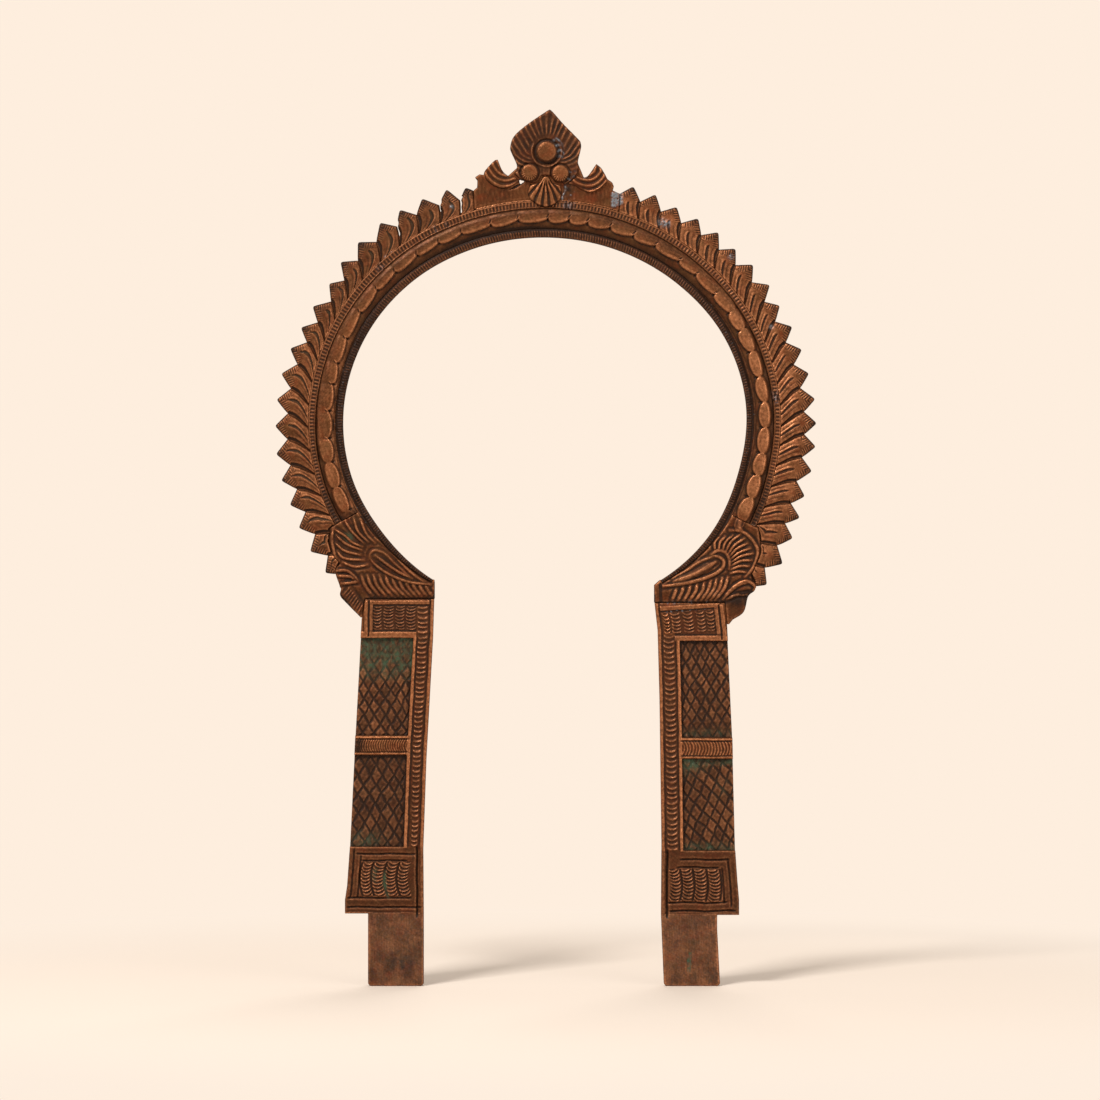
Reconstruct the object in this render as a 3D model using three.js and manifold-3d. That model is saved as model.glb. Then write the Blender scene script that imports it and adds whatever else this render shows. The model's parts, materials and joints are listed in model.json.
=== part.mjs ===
// Deity aureole (prabhavali): a copper arch that stands behind a small shrine figure.
// Millimetres, +Z up, X to the right, the ornamented face looks along -Y.
// The origin is midway between the two tenons, level with their lower ends.
import * as THREE from "three";
import { mergeVertices } from "three/addons/utils/BufferGeometryUtils.js";
import Module from "manifold-3d";

const wasm = await Module();
wasm.setup();

// Gaps and levels. A level is a distance in front of the ground plane, which is y = 0.
const SEAM = 0.3; // clearance between pieces that meet edge to edge
const SHEET = 2; // the arch and leaf plate, behind the ground plane
const RIM_HEIGHT = 0.9;
const RIM_BEVEL = 0.4;
const BEAD_HEIGHT = 3.4;
const BAND_HEIGHT = 1.3;
const CREST_GROUND_HEIGHT = 1.3;
const FRAME_HEIGHT = 2; // the leg frames and shoulders stand this far proud
const ORNAMENT_HEIGHT = 1.6; // palmette, volutes and shell, on the crest ground
const BOSS_RISE = 1.7;

// The opening: its radius every 20 degrees, from the left corner over the top to the right
const OPENING_CENTRE = new THREE.Vector2(0, 229.1);
const OPENING_STEP = 20;
const OPENING_RADIUS = [
  75.6, 78.8, 83.2, 86.1, 87.3, 87.1, 85.9, 85.1, 85.2, 85.8, 86.5, 85.3, 81.9, 79.5, 76.2,
];
const CORNER_TURN = { left: 141, right: 140.6 }; // where the inner rim meets the leg's corner
const RING_END = { left: 110.4, right: 111.7 }; // where the shoulders take over

// Widths outward from the inner edge
const RIM_WIDTH = 3.7;
const RIM_TAIL_WIDTH = 1.5; // at the corner of the leg
const BEAD_FROM = 5;
const BEAD_WIDTH = 6.8;
const BAND_WIDTH = 3.7;
const BAND_LAP = 1; // how far the milled band covers the plate's and the leaves' edges

// Leaves: each tip's turn from the top, in degrees, and its reach from the inner edge
const LEAF_TIPS = {
  left: [
    [118.8, 29.1], [112.8, 29.2], [107.2, 28.5], [102.2, 28.1], [97, 28.6], [91.5, 28.7], [85.8, 28.3],
    [80.5, 28.1], [75.2, 27.8], [69.8, 26.9], [65, 25.8], [60, 25.3], [54.2, 24.6], [49.2, 26.5],
    [43.8, 27.1], [37.8, 27.5], [33, 27.5], [27.8, 27.3], [22.2, 27], [18.1, 25.2],
  ],
  right: [
    [19.2, 27.2], [24.3, 27.4], [29.6, 26.5], [34.8, 27], [40, 27.3], [45.2, 26.8], [50.2, 27.4],
    [55.5, 27.6], [60, 26.5], [65, 27.2], [70, 27.6], [75, 27.9], [80.2, 28.9], [84.8, 29.2],
    [89.5, 29.5], [94.8, 29.6], [100.8, 29.3], [105.8, 30.2], [110.5, 30.7], [116.2, 32], [121.5, 31.5],
  ],
};
const NOTCH_DEPTH = 5.1; // a notch, inward from the mean of the two tips beside it
const CREST_NOTCH = { left: 23.2, right: 22.6 }; // reach of the notch beside the crest
const LEAF_LEAN = 3.1; // degrees that a leaf's root lies below its notch
const LEAF_LEAN_TOP = 0.9; // the same beside the crest
const LEAN_GAIN_TURN = 40; // degrees past the crest where the lean is full
const LEAF_BEND = 1.3; // how much of the lean comes near the root: 1 is a straight side
const LEAF_WAIST = 1; // outward from mid blade, where its sides bend
const LEAF_CROWN = 0.9; // rise of a leaf's middle
const CREST_TURN = { left: 16.6, right: 16.8 }; // where the crest meets the first leaves

// Legs. An edge is a list of [height, distance from the centre plane], from the shoulder
// seam down to the foot of the base block. The spine is the part beside the windows, from
// the inner edge outward. A tenon has its two sides at its top and foot.
const LEG = {
  left: {
    seam: 162.3,
    foot: 30.4,
    inner: [[162.3, 47], [146, 47.5], [95, 50.3], [57.5, 51.6], [30.4, 51.4]],
    outer: [[162.3, 75.8], [154, 77.3], [104.4, 80], [57.5, 82.3], [42, 83.4], [36, 84.3], [30.4, 84.3]],
    spine: 8.1,
    windowTop: 146,
    windowFoot: 58.3,
    crossTop: 105,
    crossFoot: 96.8,
    tenonTop: [51.4, 74.6],
    tenonFoot: [51.4, 74.6],
  },
  right: {
    seam: 160.7,
    foot: 29.8,
    inner: [[160.7, 45.7], [149, 47], [120, 47.8], [60, 48.6], [29.8, 48.4]],
    outer: [[160.7, 75], [151, 76], [104.1, 78.2], [57, 79.4], [44, 80.3], [36, 81], [29.8, 81]],
    spine: 9,
    windowTop: 144.8,
    windowFoot: 56.7,
    crossTop: 104.1,
    crossFoot: 95.2,
    tenonTop: [48.4, 71.8],
    tenonFoot: [49.6, 73],
  },
};
const TENON_NECK = 6; // the tenon's outer side is upright this far below the base block
const TENON_CORNER = 0.9; // the tenon's lower corners are cut back this far
const LATTICE_LAP = 1.6; // how far the lattice sheet runs under its frame
const LATTICE_DEPTH = 1.9; // the sheet's face lies this far behind the frame's face

// Crest, measured from a point on the centre line at the outer edge of the milled band
const CREST_LIFT = 13.6; // that point above the crown of the inner edge
const CREST_LAP = 1; // how far the ground plate's root tab runs up inside it
const CREST_INSET = 0.9; // the ground plate lies this far inside the ornaments it carries
const PALMETTE = {
  tip: [1.6, 40],
  left: [
    [-1.3, 38.2], [-8.5, 33.2], [-13.5, 28.6], [-15, 24.1], [-14.4, 21.6], [-12.4, 17.2], [-12.3, 14.9],
  ],
  leftFoot: [[-13.1, 13], [-10.8, 10.9]],
  foot: [[-7, 9.4], [-3.8, 9.7], [-1.7, 12.2], [1.9, 12.2], [3.8, 9.7], [6.5, 9.2], [8.8, 8.9]],
  rightFoot: [[12.6, 12.2], [13.6, 15.5]],
  right: [[13.5, 18.5], [14.7, 23.6], [14.6, 25.9], [13.6, 27.5], [7.6, 33.6], [3, 38.8]],
};
// Each volute: its upper edge towards the palmette, its lower edge, and its outer end
const VOLUTE = {
  left: {
    upper: [[-20.4, 18.8], [-18.4, 14.2], [-15.9, 11.9]],
    lower: [[-13.4, 11.7], [-11.2, 10.2], [-13.9, 8.2], [-18, 6.7], [-22.2, 8.1], [-25.2, 10.8]],
    end: [[-25.3, 14.4], [-21.8, 18.2]],
  },
  right: {
    upper: [[21.2, 16.9], [17.9, 12.2], [15.8, 11.2]],
    lower: [[13, 12], [9.4, 9], [11.4, 8.3], [16, 5.9], [19.7, 5.3], [22.9, 7.1], [25.6, 9.9]],
    end: [[24.7, 12.6], [23, 15.4]],
  },
};
const SHELL = [
  [-1.1, 11.7], [-2.9, 9.3], [-6.6, 8.6], [-7.6, 4.4], [-5.2, 1.1], [0, -1], [5, 1.1], [6.6, 4.4], [5.9, 8.3],
  [3, 9.1], [1.1, 11.7],
];
// The ground plate's knobs beside the volutes, from the leaves inward
const CREST_KNOB = {
  left: [[-28.7, 7.2], [-28.6, 10.4], [-29.5, 11.5], [-27.9, 12.6], [-26, 12.4]],
  right: [[27.8, 5.9], [28.3, 7.7], [27.6, 9.3], [25.8, 10.6]],
};
const BOSSES = {
  centre: { at: [0.3, 22.3], radius: 4.1 },
  left: { at: [-6.9, 13.4], radius: 3.5 },
  right: { at: [6, 13.1], radius: 3.5 },
};
const BOSS_SKIRT = 0.5; // the upright edge of a boss, below its dome

// Shoulders: the corner above the leg's inner edge, and the outline from the ring's end
// down the outer side to the leg, as [x, z]
const SHOULDER_CORNER = { left: [-47, 169.3], right: [45.7, 168.1] };
const SHOULDER_OUTER = {
  left: [
    [-90.6, 190.8], [-90.9, 186], [-89.3, 181.2], [-86.4, 177.2], [-88, 173.8], [-86, 167.4],
    [-86.3, 163.8], [-83.6, 160.6], [-77.9, 154.9],
  ],
  right: [
    [89.6, 188.6], [89.6, 181.2], [85.8, 172.4], [87.6, 168.2], [87.5, 165.9], [84.8, 163.4],
    [82.9, 156.9], [78.2, 153.6], [76.8, 152],
  ],
};
const TEARDROP = {
  left: { head: [-73.3, 180.8], tail: [-50.4, 169.9], radius: 2.9 },
  right: { head: [73.9, 178.4], tail: [51.5, 169.3], radius: 2.9 },
};
const TEARDROP_RISE = 0.7;

const ARCH_STEPS = 70; // stations along each strip of the arch
const BEAD_SIDES = 6;
const ROUND_STEPS = 9; // stations along the other curves
const DOME_STEPS = 5;
const BOSS_SIDES = 20;

const FINISH = {
  patina: { color: 0x7a4a2d, roughness: 0.52, metalness: 0.9 },
  worn: { color: 0x9a6340, roughness: 0.42, metalness: 0.9 },
  dark: { color: 0x4a2c1c, roughness: 0.62, metalness: 0.85 },
  verdigris: { color: 0x5a4a33, roughness: 0.68, metalness: 0.7 },
};

const SIDES = ["left", "right"];
const signOf = (side) => (side === "left" ? -1 : 1);
const radians = THREE.MathUtils.degToRad;
const { clamp, lerp } = THREE.MathUtils;

// The radius of the opening at a turn, and how fast it grows with the turn in radians: a
// smooth curve through the list of radii, which runs on straight past its two ends.
function openingAt(turn) {
  const last = OPENING_RADIUS.length - 1;
  const place = turn / OPENING_STEP + last / 2;
  const index = clamp(Math.floor(place), 0, last - 1);
  const radiusAt = (i) => {
    if (i < 0) return 2 * OPENING_RADIUS[0] - OPENING_RADIUS[1];
    if (i > last) return 2 * OPENING_RADIUS[last] - OPENING_RADIUS[last - 1];
    return OPENING_RADIUS[i];
  };
  const [a, b, c, d] = [-1, 0, 1, 2].map((k) => radiusAt(index + k));
  const t = place - index;
  const linear = c - a;
  const square = 2 * a - 5 * b + 4 * c - d;
  const cubic = 3 * (b - c) + d - a;
  const radius = b + (t * (linear + t * (square + t * cubic))) / 2;
  const slope = (linear + 2 * t * square + 3 * t * t * cubic) / 2 / radians(OPENING_STEP);
  return { radius, slope };
}

// A point of the arch: turn is its angle round the opening's centre, from the top, with
// turns to the left negative, and reach is measured square outward from the inner edge.
function archPoint(turn, reach) {
  const { radius, slope } = openingAt(turn);
  const angle = radians(turn);
  const out = new THREE.Vector2(Math.sin(angle), Math.cos(angle));
  const along = new THREE.Vector2(Math.cos(angle), -Math.sin(angle));
  const normal = out.clone().multiplyScalar(radius).addScaledVector(along, -slope).normalize();
  return out.multiplyScalar(radius).addScaledVector(normal, reach).add(OPENING_CENTRE);
}

// The turn that a distance takes up at a place of the arch
const turnOf = (distance, turn, reach) =>
  THREE.MathUtils.radToDeg(distance / (openingAt(turn).radius + reach));

const archRun = (from, to, reach, steps) =>
  Array.from({ length: steps + 1 }, (_, i) => archPoint(lerp(from, to, i / steps), reach));

const vectors = (pairs) => pairs.map(([x, z]) => new THREE.Vector2(x, z));

// A flat plate with this outline, from y = back forward to y = front.
function plate(outline, back, front) {
  const geometry = new THREE.ExtrudeGeometry(new THREE.Shape(outline), {
    depth: back - front,
    bevelEnabled: false,
    steps: 1,
  });
  return geometry.rotateX(Math.PI / 2).translate(0, back, 0);
}

// An outline moved outward by a distance, or inward if it is negative. SHARPEST limits
// how far a sharp corner runs out.
const SHARPEST = 0.5;
function grown(outline, distance) {
  const turn = THREE.ShapeUtils.area(outline) > 0 ? 1 : -1;
  const count = outline.length;
  return outline.map((p, i) => {
    const before = p.clone().sub(outline[(i + count - 1) % count]).normalize();
    const after = outline[(i + 1) % count].clone().sub(p).normalize();
    const along = before.clone().add(after).normalize();
    const away = (turn * distance) / Math.max(SHARPEST, along.dot(after));
    return new THREE.Vector2(p.x + along.y * away, p.y - along.x * away);
  });
}

const MERGE = 1e-4; // points closer than this are one point
function solid(geometry) {
  const bare = geometry.clone();
  bare.deleteAttribute("normal");
  bare.deleteAttribute("uv");
  const merged = mergeVertices(bare, MERGE);
  const mesh = new wasm.Mesh({
    numProp: 3,
    vertProperties: merged.attributes.position.array,
    triVerts: new Uint32Array(merged.index.array),
  });
  return new wasm.Manifold(mesh);
}

function geometryOf(manifold) {
  const mesh = manifold.getMesh();
  const geometry = new THREE.BufferGeometry();
  geometry.setAttribute("position", new THREE.BufferAttribute(mesh.vertProperties, 3));
  geometry.setIndex(new THREE.BufferAttribute(mesh.triVerts, 1));
  return geometry.toNonIndexed();
}

const joined = (...parts) => geometryOf(parts.map(solid).reduce((a, b) => a.add(b)));
const cut = (body, tool) => geometryOf(solid(body).subtract(solid(tool)));
const common = (a, b) => geometryOf(solid(a).intersect(solid(b)));

function piece(name, geometry, finish) {
  const flat = geometry.index ? geometry.toNonIndexed() : geometry;
  flat.computeVertexNormals();
  const mesh = new THREE.Mesh(flat, new THREE.MeshStandardMaterial(FINISH[finish]));
  mesh.name = name;
  return mesh;
}

// A closed strip swept along the arch. profile(turn) gives [reach, y] corners, in order
// from the inner side at the back, round the front, to the outer side at the back.
function archStrip(profile, fromTurn, toTurn) {
  const positions = [];
  const rings = [];
  for (let i = 0; i <= ARCH_STEPS; i++) {
    const turn = lerp(fromTurn, toTurn, i / ARCH_STEPS);
    rings.push(
      profile(turn).map(([reach, y]) => {
        const p = archPoint(turn, reach);
        return [p.x, y, p.y];
      }),
    );
  }
  const corners = rings[0].length;
  for (let i = 0; i < ARCH_STEPS; i++)
    for (let j = 0; j < corners; j++) {
      const next = (j + 1) % corners;
      const [a, b, c, d] = [rings[i][j], rings[i + 1][j], rings[i + 1][next], rings[i][next]];
      positions.push(...a, ...b, ...c, ...a, ...c, ...d);
    }
  const cap = (ring, flip) => {
    for (let j = 1; j < corners - 1; j++)
      positions.push(...ring[0], ...ring[flip ? j + 1 : j], ...ring[flip ? j : j + 1]);
  };
  cap(rings[0], false);
  cap(rings[ARCH_STEPS], true);
  const geometry = new THREE.BufferGeometry();
  geometry.setAttribute("position", new THREE.Float32BufferAttribute(positions, 3));
  return geometry;
}

const BEAD_TO = BEAD_FROM + BEAD_WIDTH;
const BAND_TO = BEAD_TO + BAND_WIDTH;
const PLATE_TO = BAND_TO - BAND_LAP - SEAM / 2;
const ROOT_FROM = BAND_TO - BAND_LAP + SEAM / 2;
const BLADE_FROM = BAND_TO + SEAM;

// The inner rim narrows from the ring's end to the corner of the leg
function rimWidth(turn) {
  const side = turn < 0 ? "left" : "right";
  const past = (Math.abs(turn) - RING_END[side]) / (CORNER_TURN[side] - RING_END[side]);
  return lerp(RIM_WIDTH, RIM_TAIL_WIDTH, clamp(past, 0, 1));
}

function makeArch() {
  const arch = new THREE.Group();
  const rim = (turn) => [
    [0, SHEET],
    [0, RIM_BEVEL - RIM_HEIGHT],
    [RIM_BEVEL, -RIM_HEIGHT],
    [rimWidth(turn), -RIM_HEIGHT],
    [rimWidth(turn), SHEET],
  ];
  const base = () => [
    [RIM_WIDTH + SEAM, SHEET],
    [RIM_WIDTH + SEAM, 0],
    [PLATE_TO, 0],
    [PLATE_TO, SHEET],
  ];
  const bead = () =>
    Array.from({ length: BEAD_SIDES + 1 }, (_, i) => {
      const angle = (Math.PI * i) / BEAD_SIDES;
      const reach = BEAD_FROM + (BEAD_WIDTH * (1 - Math.cos(angle))) / 2;
      return [reach, -BEAD_HEIGHT * Math.sin(angle)];
    });
  const band = () => [
    [BEAD_TO, 0],
    [BEAD_TO, -BAND_HEIGHT],
    [BAND_TO, -BAND_HEIGHT],
    [BAND_TO, 0],
  ];
  const strips = [
    ["arch_back_plate", base, RING_END, "dark"],
    ["arch_inner_rim", rim, CORNER_TURN, "dark"],
    ["arch_bead_moulding", bead, RING_END, "worn"],
    ["arch_milled_band", band, RING_END, "patina"],
  ];
  for (const [name, profile, end, finish] of strips)
    arch.add(piece(name, archStrip(profile, -end.left, end.right), finish));
  return arch;
}

// How far below its notch, in degrees, a seam between two leaves meets the band
function leanAt(side, turn) {
  const gain = clamp((turn - CREST_TURN[side]) / LEAN_GAIN_TURN, 0, 1);
  return lerp(LEAF_LEAN_TOP, LEAF_LEAN, gain);
}

// One leaf plate: a root tab that the milled band covers, and a blade with a raised middle.
// tip, low and high are [turn, reach] of its tip and of its notches on the side of the leg
// and of the crest.
function leafGeometry(side, tip, low, high) {
  const sign = signOf(side);
  const at = (turn, r) => archPoint(sign * turn, r);
  const edge = ([turn, reach], way) => {
    const shift = way * turnOf(SEAM / 2, sign * turn, reach);
    const lean = leanAt(side, turn);
    return (r) => at(turn + shift + lean * ((reach - r) / (reach - ROOT_FROM)) ** LEAF_BEND, r);
  };
  const lower = edge(low, -1);
  const upper = edge(high, 1);
  const middle = (ROOT_FROM + high[1]) / 2 + LEAF_WAIST;
  const rootLow = lower(ROOT_FROM);
  const rootHigh = upper(ROOT_FROM);
  const bladeLow = lower(BLADE_FROM);
  const bladeHigh = upper(BLADE_FROM);
  const blade = [
    bladeLow,
    lower(middle),
    lower(low[1]),
    at(...tip),
    upper(high[1]),
    upper(middle),
    bladeHigh,
  ];
  const tab = [rootLow, bladeLow, bladeHigh, rootHigh];
  const crown = at((low[0] + high[0] + leanAt(side, tip[0])) / 2, (BLADE_FROM + tip[1]) / 2);
  const positions = [];
  const face = (...corners) => {
    for (const [p, y] of corners) positions.push(p.x, y, p.y);
  };
  const outward = side === "right";
  const turned = (a, b, c) => (outward ? face(a, b, c) : face(a, c, b));
  for (let i = 0; i < blade.length; i++) {
    const a = blade[i];
    const b = blade[(i + 1) % blade.length];
    turned([a, 0], [b, 0], [crown, -LEAF_CROWN]);
    turned([b, SHEET], [a, SHEET], [crown, SHEET]);
  }
  for (const y of [0, SHEET]) {
    const [a, b, c, d] = tab.map((p) => [p, y]);
    if (y === 0) {
      turned(a, b, c);
      turned(a, c, d);
    } else {
      turned(a, c, b);
      turned(a, d, c);
    }
  }
  const outline = [rootLow, ...blade, rootHigh];
  outline.forEach((a, i) => {
    const b = outline[(i + 1) % outline.length];
    turned([a, 0], [a, SHEET], [b, SHEET]);
    turned([a, 0], [b, SHEET], [b, 0]);
  });
  const geometry = new THREE.BufferGeometry();
  geometry.setAttribute("position", new THREE.Float32BufferAttribute(positions, 3));
  return geometry;
}

function makeLeaves() {
  const leaves = new THREE.Group();
  for (const side of SIDES) {
    const tips = LEAF_TIPS[side];
    const fromLeg = side === "left";
    const shoulder = plate(grown(shoulderReach(side), SEAM), 2 * SHEET, -2 * SHEET);
    tips.forEach((tip, i) => {
      const down = tips[fromLeg ? i - 1 : i + 1];
      const up = tips[fromLeg ? i + 1 : i - 1];
      const notch = (other) => [(tip[0] + other[0]) / 2, (tip[1] + other[1]) / 2 - NOTCH_DEPTH];
      const high = up ? notch(up) : [CREST_TURN[side], CREST_NOTCH[side]];
      const low = down ? notch(down) : [2 * tip[0] - high[0], high[1]];
      const leaf = leafGeometry(side, tip, low, high);
      const nearShoulder = low[0] + LEAF_LEAN + turnOf(SEAM, tip[0], 0) > RING_END[side];
      const number = String(i + 1).padStart(2, "0");
      leaves.add(piece(`leaf_${side}_${number}`, nearShoulder ? cut(leaf, shoulder) : leaf, "patina"));
    });
  }
  return leaves;
}

// The distance of a leg's edge from the centre plane at a height
function edgeAt(edge, z) {
  const found = edge.findIndex(([height]) => height <= z);
  const i = found < 0 ? edge.length - 1 : Math.max(1, found);
  const [[highZ, highX], [lowZ, lowX]] = [edge[i - 1], edge[i]];
  return lerp(highX, lowX, (highZ - z) / (highZ - lowZ));
}

// The points of a leg's edge between two heights, moved away from the centre plane by
// shift, with z falling when from is above to
function edgeRun(side, edge, from, to, shift = 0) {
  const inside = edge.map(([z]) => z).filter((z) => z < Math.max(from, to) && z > Math.min(from, to));
  const heights = [from, ...(from > to ? inside : inside.reverse()), to];
  return heights.map((z) => new THREE.Vector2(signOf(side) * (edgeAt(edge, z) + shift), z));
}

// The outer side of a shoulder, from the ring's end to the leg
function shoulderOuter(side) {
  const leg = LEG[side];
  const seam = leg.seam + SEAM;
  const pendantFoot = SHOULDER_OUTER[side].at(-1)[1];
  return [
    ringEnd(side, BAND_TO + SEAM),
    ...vectors(SHOULDER_OUTER[side]),
    ...edgeRun(side, leg.outer, pendantFoot, seam, SEAM),
  ];
}

// A point of the shoulder's upper edge, across the end of the ring
function ringEnd(side, reach) {
  const turn = RING_END[side] + turnOf(SEAM, RING_END[side], 0);
  return archPoint(signOf(side) * turn, reach);
}

function shoulderOutline(side) {
  const sign = signOf(side);
  const corner = sign * (CORNER_TURN[side] + turnOf(SEAM, CORNER_TURN[side], 0));
  const [cornerX, cornerZ] = SHOULDER_CORNER[side];
  const inner = Array.from({ length: ROUND_STEPS + 1 }, (_, i) => {
    const turn = lerp(CORNER_TURN[side], RING_END[side], i / ROUND_STEPS);
    return archPoint(sign * turn, rimWidth(sign * turn) + SEAM);
  });
  return [
    new THREE.Vector2(cornerX, LEG[side].seam + SEAM),
    new THREE.Vector2(cornerX, cornerZ),
    archPoint(corner, 0),
    archPoint(corner, RIM_TAIL_WIDTH + SEAM),
    ...inner,
    ringEnd(side, RIM_WIDTH + SEAM),
    ...shoulderOuter(side),
  ];
}

// All that a leaf keeps clear of: the shoulder, and the space from it to the opening's centre
function shoulderReach(side) {
  const [cornerX] = SHOULDER_CORNER[side];
  return [new THREE.Vector2(cornerX, LEG[side].seam), OPENING_CENTRE, ...shoulderOuter(side)];
}

function teardrop({ head, tail, radius }) {
  const [hx, hz] = head;
  const [tx, tz] = tail;
  const axis = Math.atan2(tz - hz, tx - hx);
  const round = Array.from({ length: ROUND_STEPS + 1 }, (_, i) => {
    const angle = axis + Math.PI / 2 + (Math.PI * i) / ROUND_STEPS;
    return new THREE.Vector2(hx + radius * Math.cos(angle), hz + radius * Math.sin(angle));
  });
  return [...round, new THREE.Vector2(tx, tz)];
}

function makeShoulders() {
  const shoulders = new THREE.Group();
  for (const side of SIDES) {
    const outline = shoulderOutline(side);
    const drop = plate(teardrop(TEARDROP[side]), 0, -FRAME_HEIGHT - TEARDROP_RISE);
    const raised = common(drop, plate(outline, 0, -FRAME_HEIGHT - TEARDROP_RISE));
    shoulders.add(piece(`shoulder_${side}`, joined(plate(outline, SHEET, -FRAME_HEIGHT), raised), "patina"));
  }
  return shoulders;
}

function makeLegs() {
  const legs = new THREE.Group();
  for (const side of SIDES) {
    const leg = LEG[side];
    const at = (x, z) => new THREE.Vector2(signOf(side) * x, z);
    const inner = (from, to) => edgeRun(side, leg.inner, from, to);
    const spine = (from, to, lap = 0) => edgeRun(side, leg.inner, from, to, leg.spine - lap);
    const outer = (from, to) => edgeRun(side, leg.outer, from, to);
    const [tenonInner, tenonOuter] = leg.tenonFoot;
    const frame = [
      ...inner(leg.seam, leg.foot),
      at(tenonInner, TENON_CORNER),
      at(tenonInner + TENON_CORNER, 0),
      at(tenonOuter - TENON_CORNER, 0),
      at(tenonOuter, TENON_CORNER),
      at(leg.tenonTop[1], leg.foot - TENON_NECK),
      at(leg.tenonTop[1], leg.foot),
      ...outer(leg.foot, leg.windowFoot),
      ...spine(leg.windowFoot, leg.crossFoot),
      ...outer(leg.crossFoot, leg.crossTop),
      ...spine(leg.crossTop, leg.windowTop),
      ...outer(leg.windowTop, leg.seam),
    ];
    const low = leg.windowFoot - LATTICE_LAP;
    const high = leg.windowTop + LATTICE_LAP;
    const sheetOutline = [...spine(low, high, LATTICE_LAP), ...outer(high, low)];
    const sheetFace = LATTICE_DEPTH - FRAME_HEIGHT;
    const rebate = plate(grown(sheetOutline, SEAM), SHEET + SEAM, sheetFace);
    legs.add(piece(`leg_frame_${side}`, cut(plate(frame, SHEET, -FRAME_HEIGHT), rebate), "patina"));
    legs.add(piece(`lattice_panel_${side}`, plate(sheetOutline, SHEET, sheetFace), "verdigris"));
  }
  return legs;
}

function dome(radius) {
  const profile = [new THREE.Vector2(0, 0), new THREE.Vector2(radius, 0)];
  for (let i = 0; i < DOME_STEPS; i++) {
    const angle = (Math.PI / 2) * (i / DOME_STEPS);
    const rise = lerp(BOSS_SKIRT, BOSS_RISE, Math.sin(angle));
    profile.push(new THREE.Vector2(radius * Math.cos(angle), rise));
  }
  profile.push(new THREE.Vector2(0, BOSS_RISE));
  return new THREE.LatheGeometry(profile, BOSS_SIDES).rotateX(Math.PI);
}

function makeCrest() {
  const crest = new THREE.Group();
  const lift = openingAt(0).radius + OPENING_CENTRE.y + CREST_LIFT;
  crest.position.set(0, 0, lift);
  const local = (p) => new THREE.Vector2(p.x, p.y - lift);
  const arc = (reach, seams) => {
    const inset = LEAF_LEAN_TOP - seams * turnOf(SEAM, 0, reach);
    return archRun(CREST_TURN.right + inset, -CREST_TURN.left - inset, reach, ROUND_STEPS).map(local);
  };
  const besideLeaf = (side) => {
    const turn = CREST_TURN[side] - turnOf(SEAM / 2, 0, CREST_NOTCH[side]);
    return local(archPoint(signOf(side) * turn, CREST_NOTCH[side]));
  };
  const palmette = vectors([
    PALMETTE.tip,
    ...PALMETTE.left,
    ...PALMETTE.leftFoot,
    ...PALMETTE.foot,
    ...PALMETTE.rightFoot,
    ...PALMETTE.right,
  ]);
  const tongue = vectors([...PALMETTE.right, PALMETTE.tip, ...PALMETTE.left]);
  const groundTop = [
    besideLeaf("right"),
    ...vectors(CREST_KNOB.right),
    ...vectors([...VOLUTE.right.end, ...VOLUTE.right.upper]),
    ...grown(tongue, -CREST_INSET),
    ...vectors([...VOLUTE.left.end, ...VOLUTE.left.upper]).reverse(),
    ...vectors(CREST_KNOB.left).reverse(),
    besideLeaf("left"),
  ];
  const groundOutline = [...arc(BLADE_FROM, 0.5).reverse(), ...groundTop];
  const tab = [...arc(BLADE_FROM + CREST_LAP, 2).reverse(), ...arc(ROOT_FROM, 2)];
  const ground = joined(plate(groundOutline, SHEET, -CREST_GROUND_HEIGHT), plate(tab, SHEET, 0));
  crest.add(piece("crest_ground", ground, "patina"));

  const seat = -CREST_GROUND_HEIGHT;
  const top = seat - ORNAMENT_HEIGHT;
  crest.add(piece("crest_palmette", plate(palmette, seat, top), "dark"));
  for (const side of SIDES) {
    const { upper, lower, end } = VOLUTE[side];
    const volute = plate(vectors([...upper, ...lower, ...end]), seat, top);
    crest.add(piece(`crest_volute_${side}`, volute, "patina"));
  }
  crest.add(piece("crest_shell", plate(vectors(SHELL), seat, top), "worn"));
  for (const [name, { at, radius }] of Object.entries(BOSSES)) {
    const boss = piece(`crest_boss_${name}`, dome(radius), "worn");
    boss.position.set(at[0], top, at[1]);
    crest.add(boss);
  }
  return crest;
}

const aureole = new THREE.Group();
aureole.add(makeArch(), makeLeaves(), makeShoulders(), makeLegs(), makeCrest());

export default aureole;
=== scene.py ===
import json
import math
from functools import partial
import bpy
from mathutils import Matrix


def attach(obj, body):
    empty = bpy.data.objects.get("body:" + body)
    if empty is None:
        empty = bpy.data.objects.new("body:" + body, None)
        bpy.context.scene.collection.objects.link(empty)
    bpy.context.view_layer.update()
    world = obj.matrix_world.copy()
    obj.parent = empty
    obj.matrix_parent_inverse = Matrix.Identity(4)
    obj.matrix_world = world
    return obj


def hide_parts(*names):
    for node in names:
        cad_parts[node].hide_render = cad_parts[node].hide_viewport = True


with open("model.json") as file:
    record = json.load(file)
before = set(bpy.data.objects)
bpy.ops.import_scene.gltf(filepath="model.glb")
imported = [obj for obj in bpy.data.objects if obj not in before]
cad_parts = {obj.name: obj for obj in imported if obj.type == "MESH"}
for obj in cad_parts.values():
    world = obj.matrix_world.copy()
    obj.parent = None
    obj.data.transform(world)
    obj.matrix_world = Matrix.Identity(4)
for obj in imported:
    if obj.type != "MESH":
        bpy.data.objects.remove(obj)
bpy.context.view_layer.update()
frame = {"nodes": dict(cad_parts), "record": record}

from types import SimpleNamespace as Leg

import bpy
import numpy as np
from numpy import clip, cos, hypot, maximum, minimum, sin, sqrt, stack, where
from mathutils import Vector
from mathutils.geometry import delaunay_2d_cdt

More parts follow.
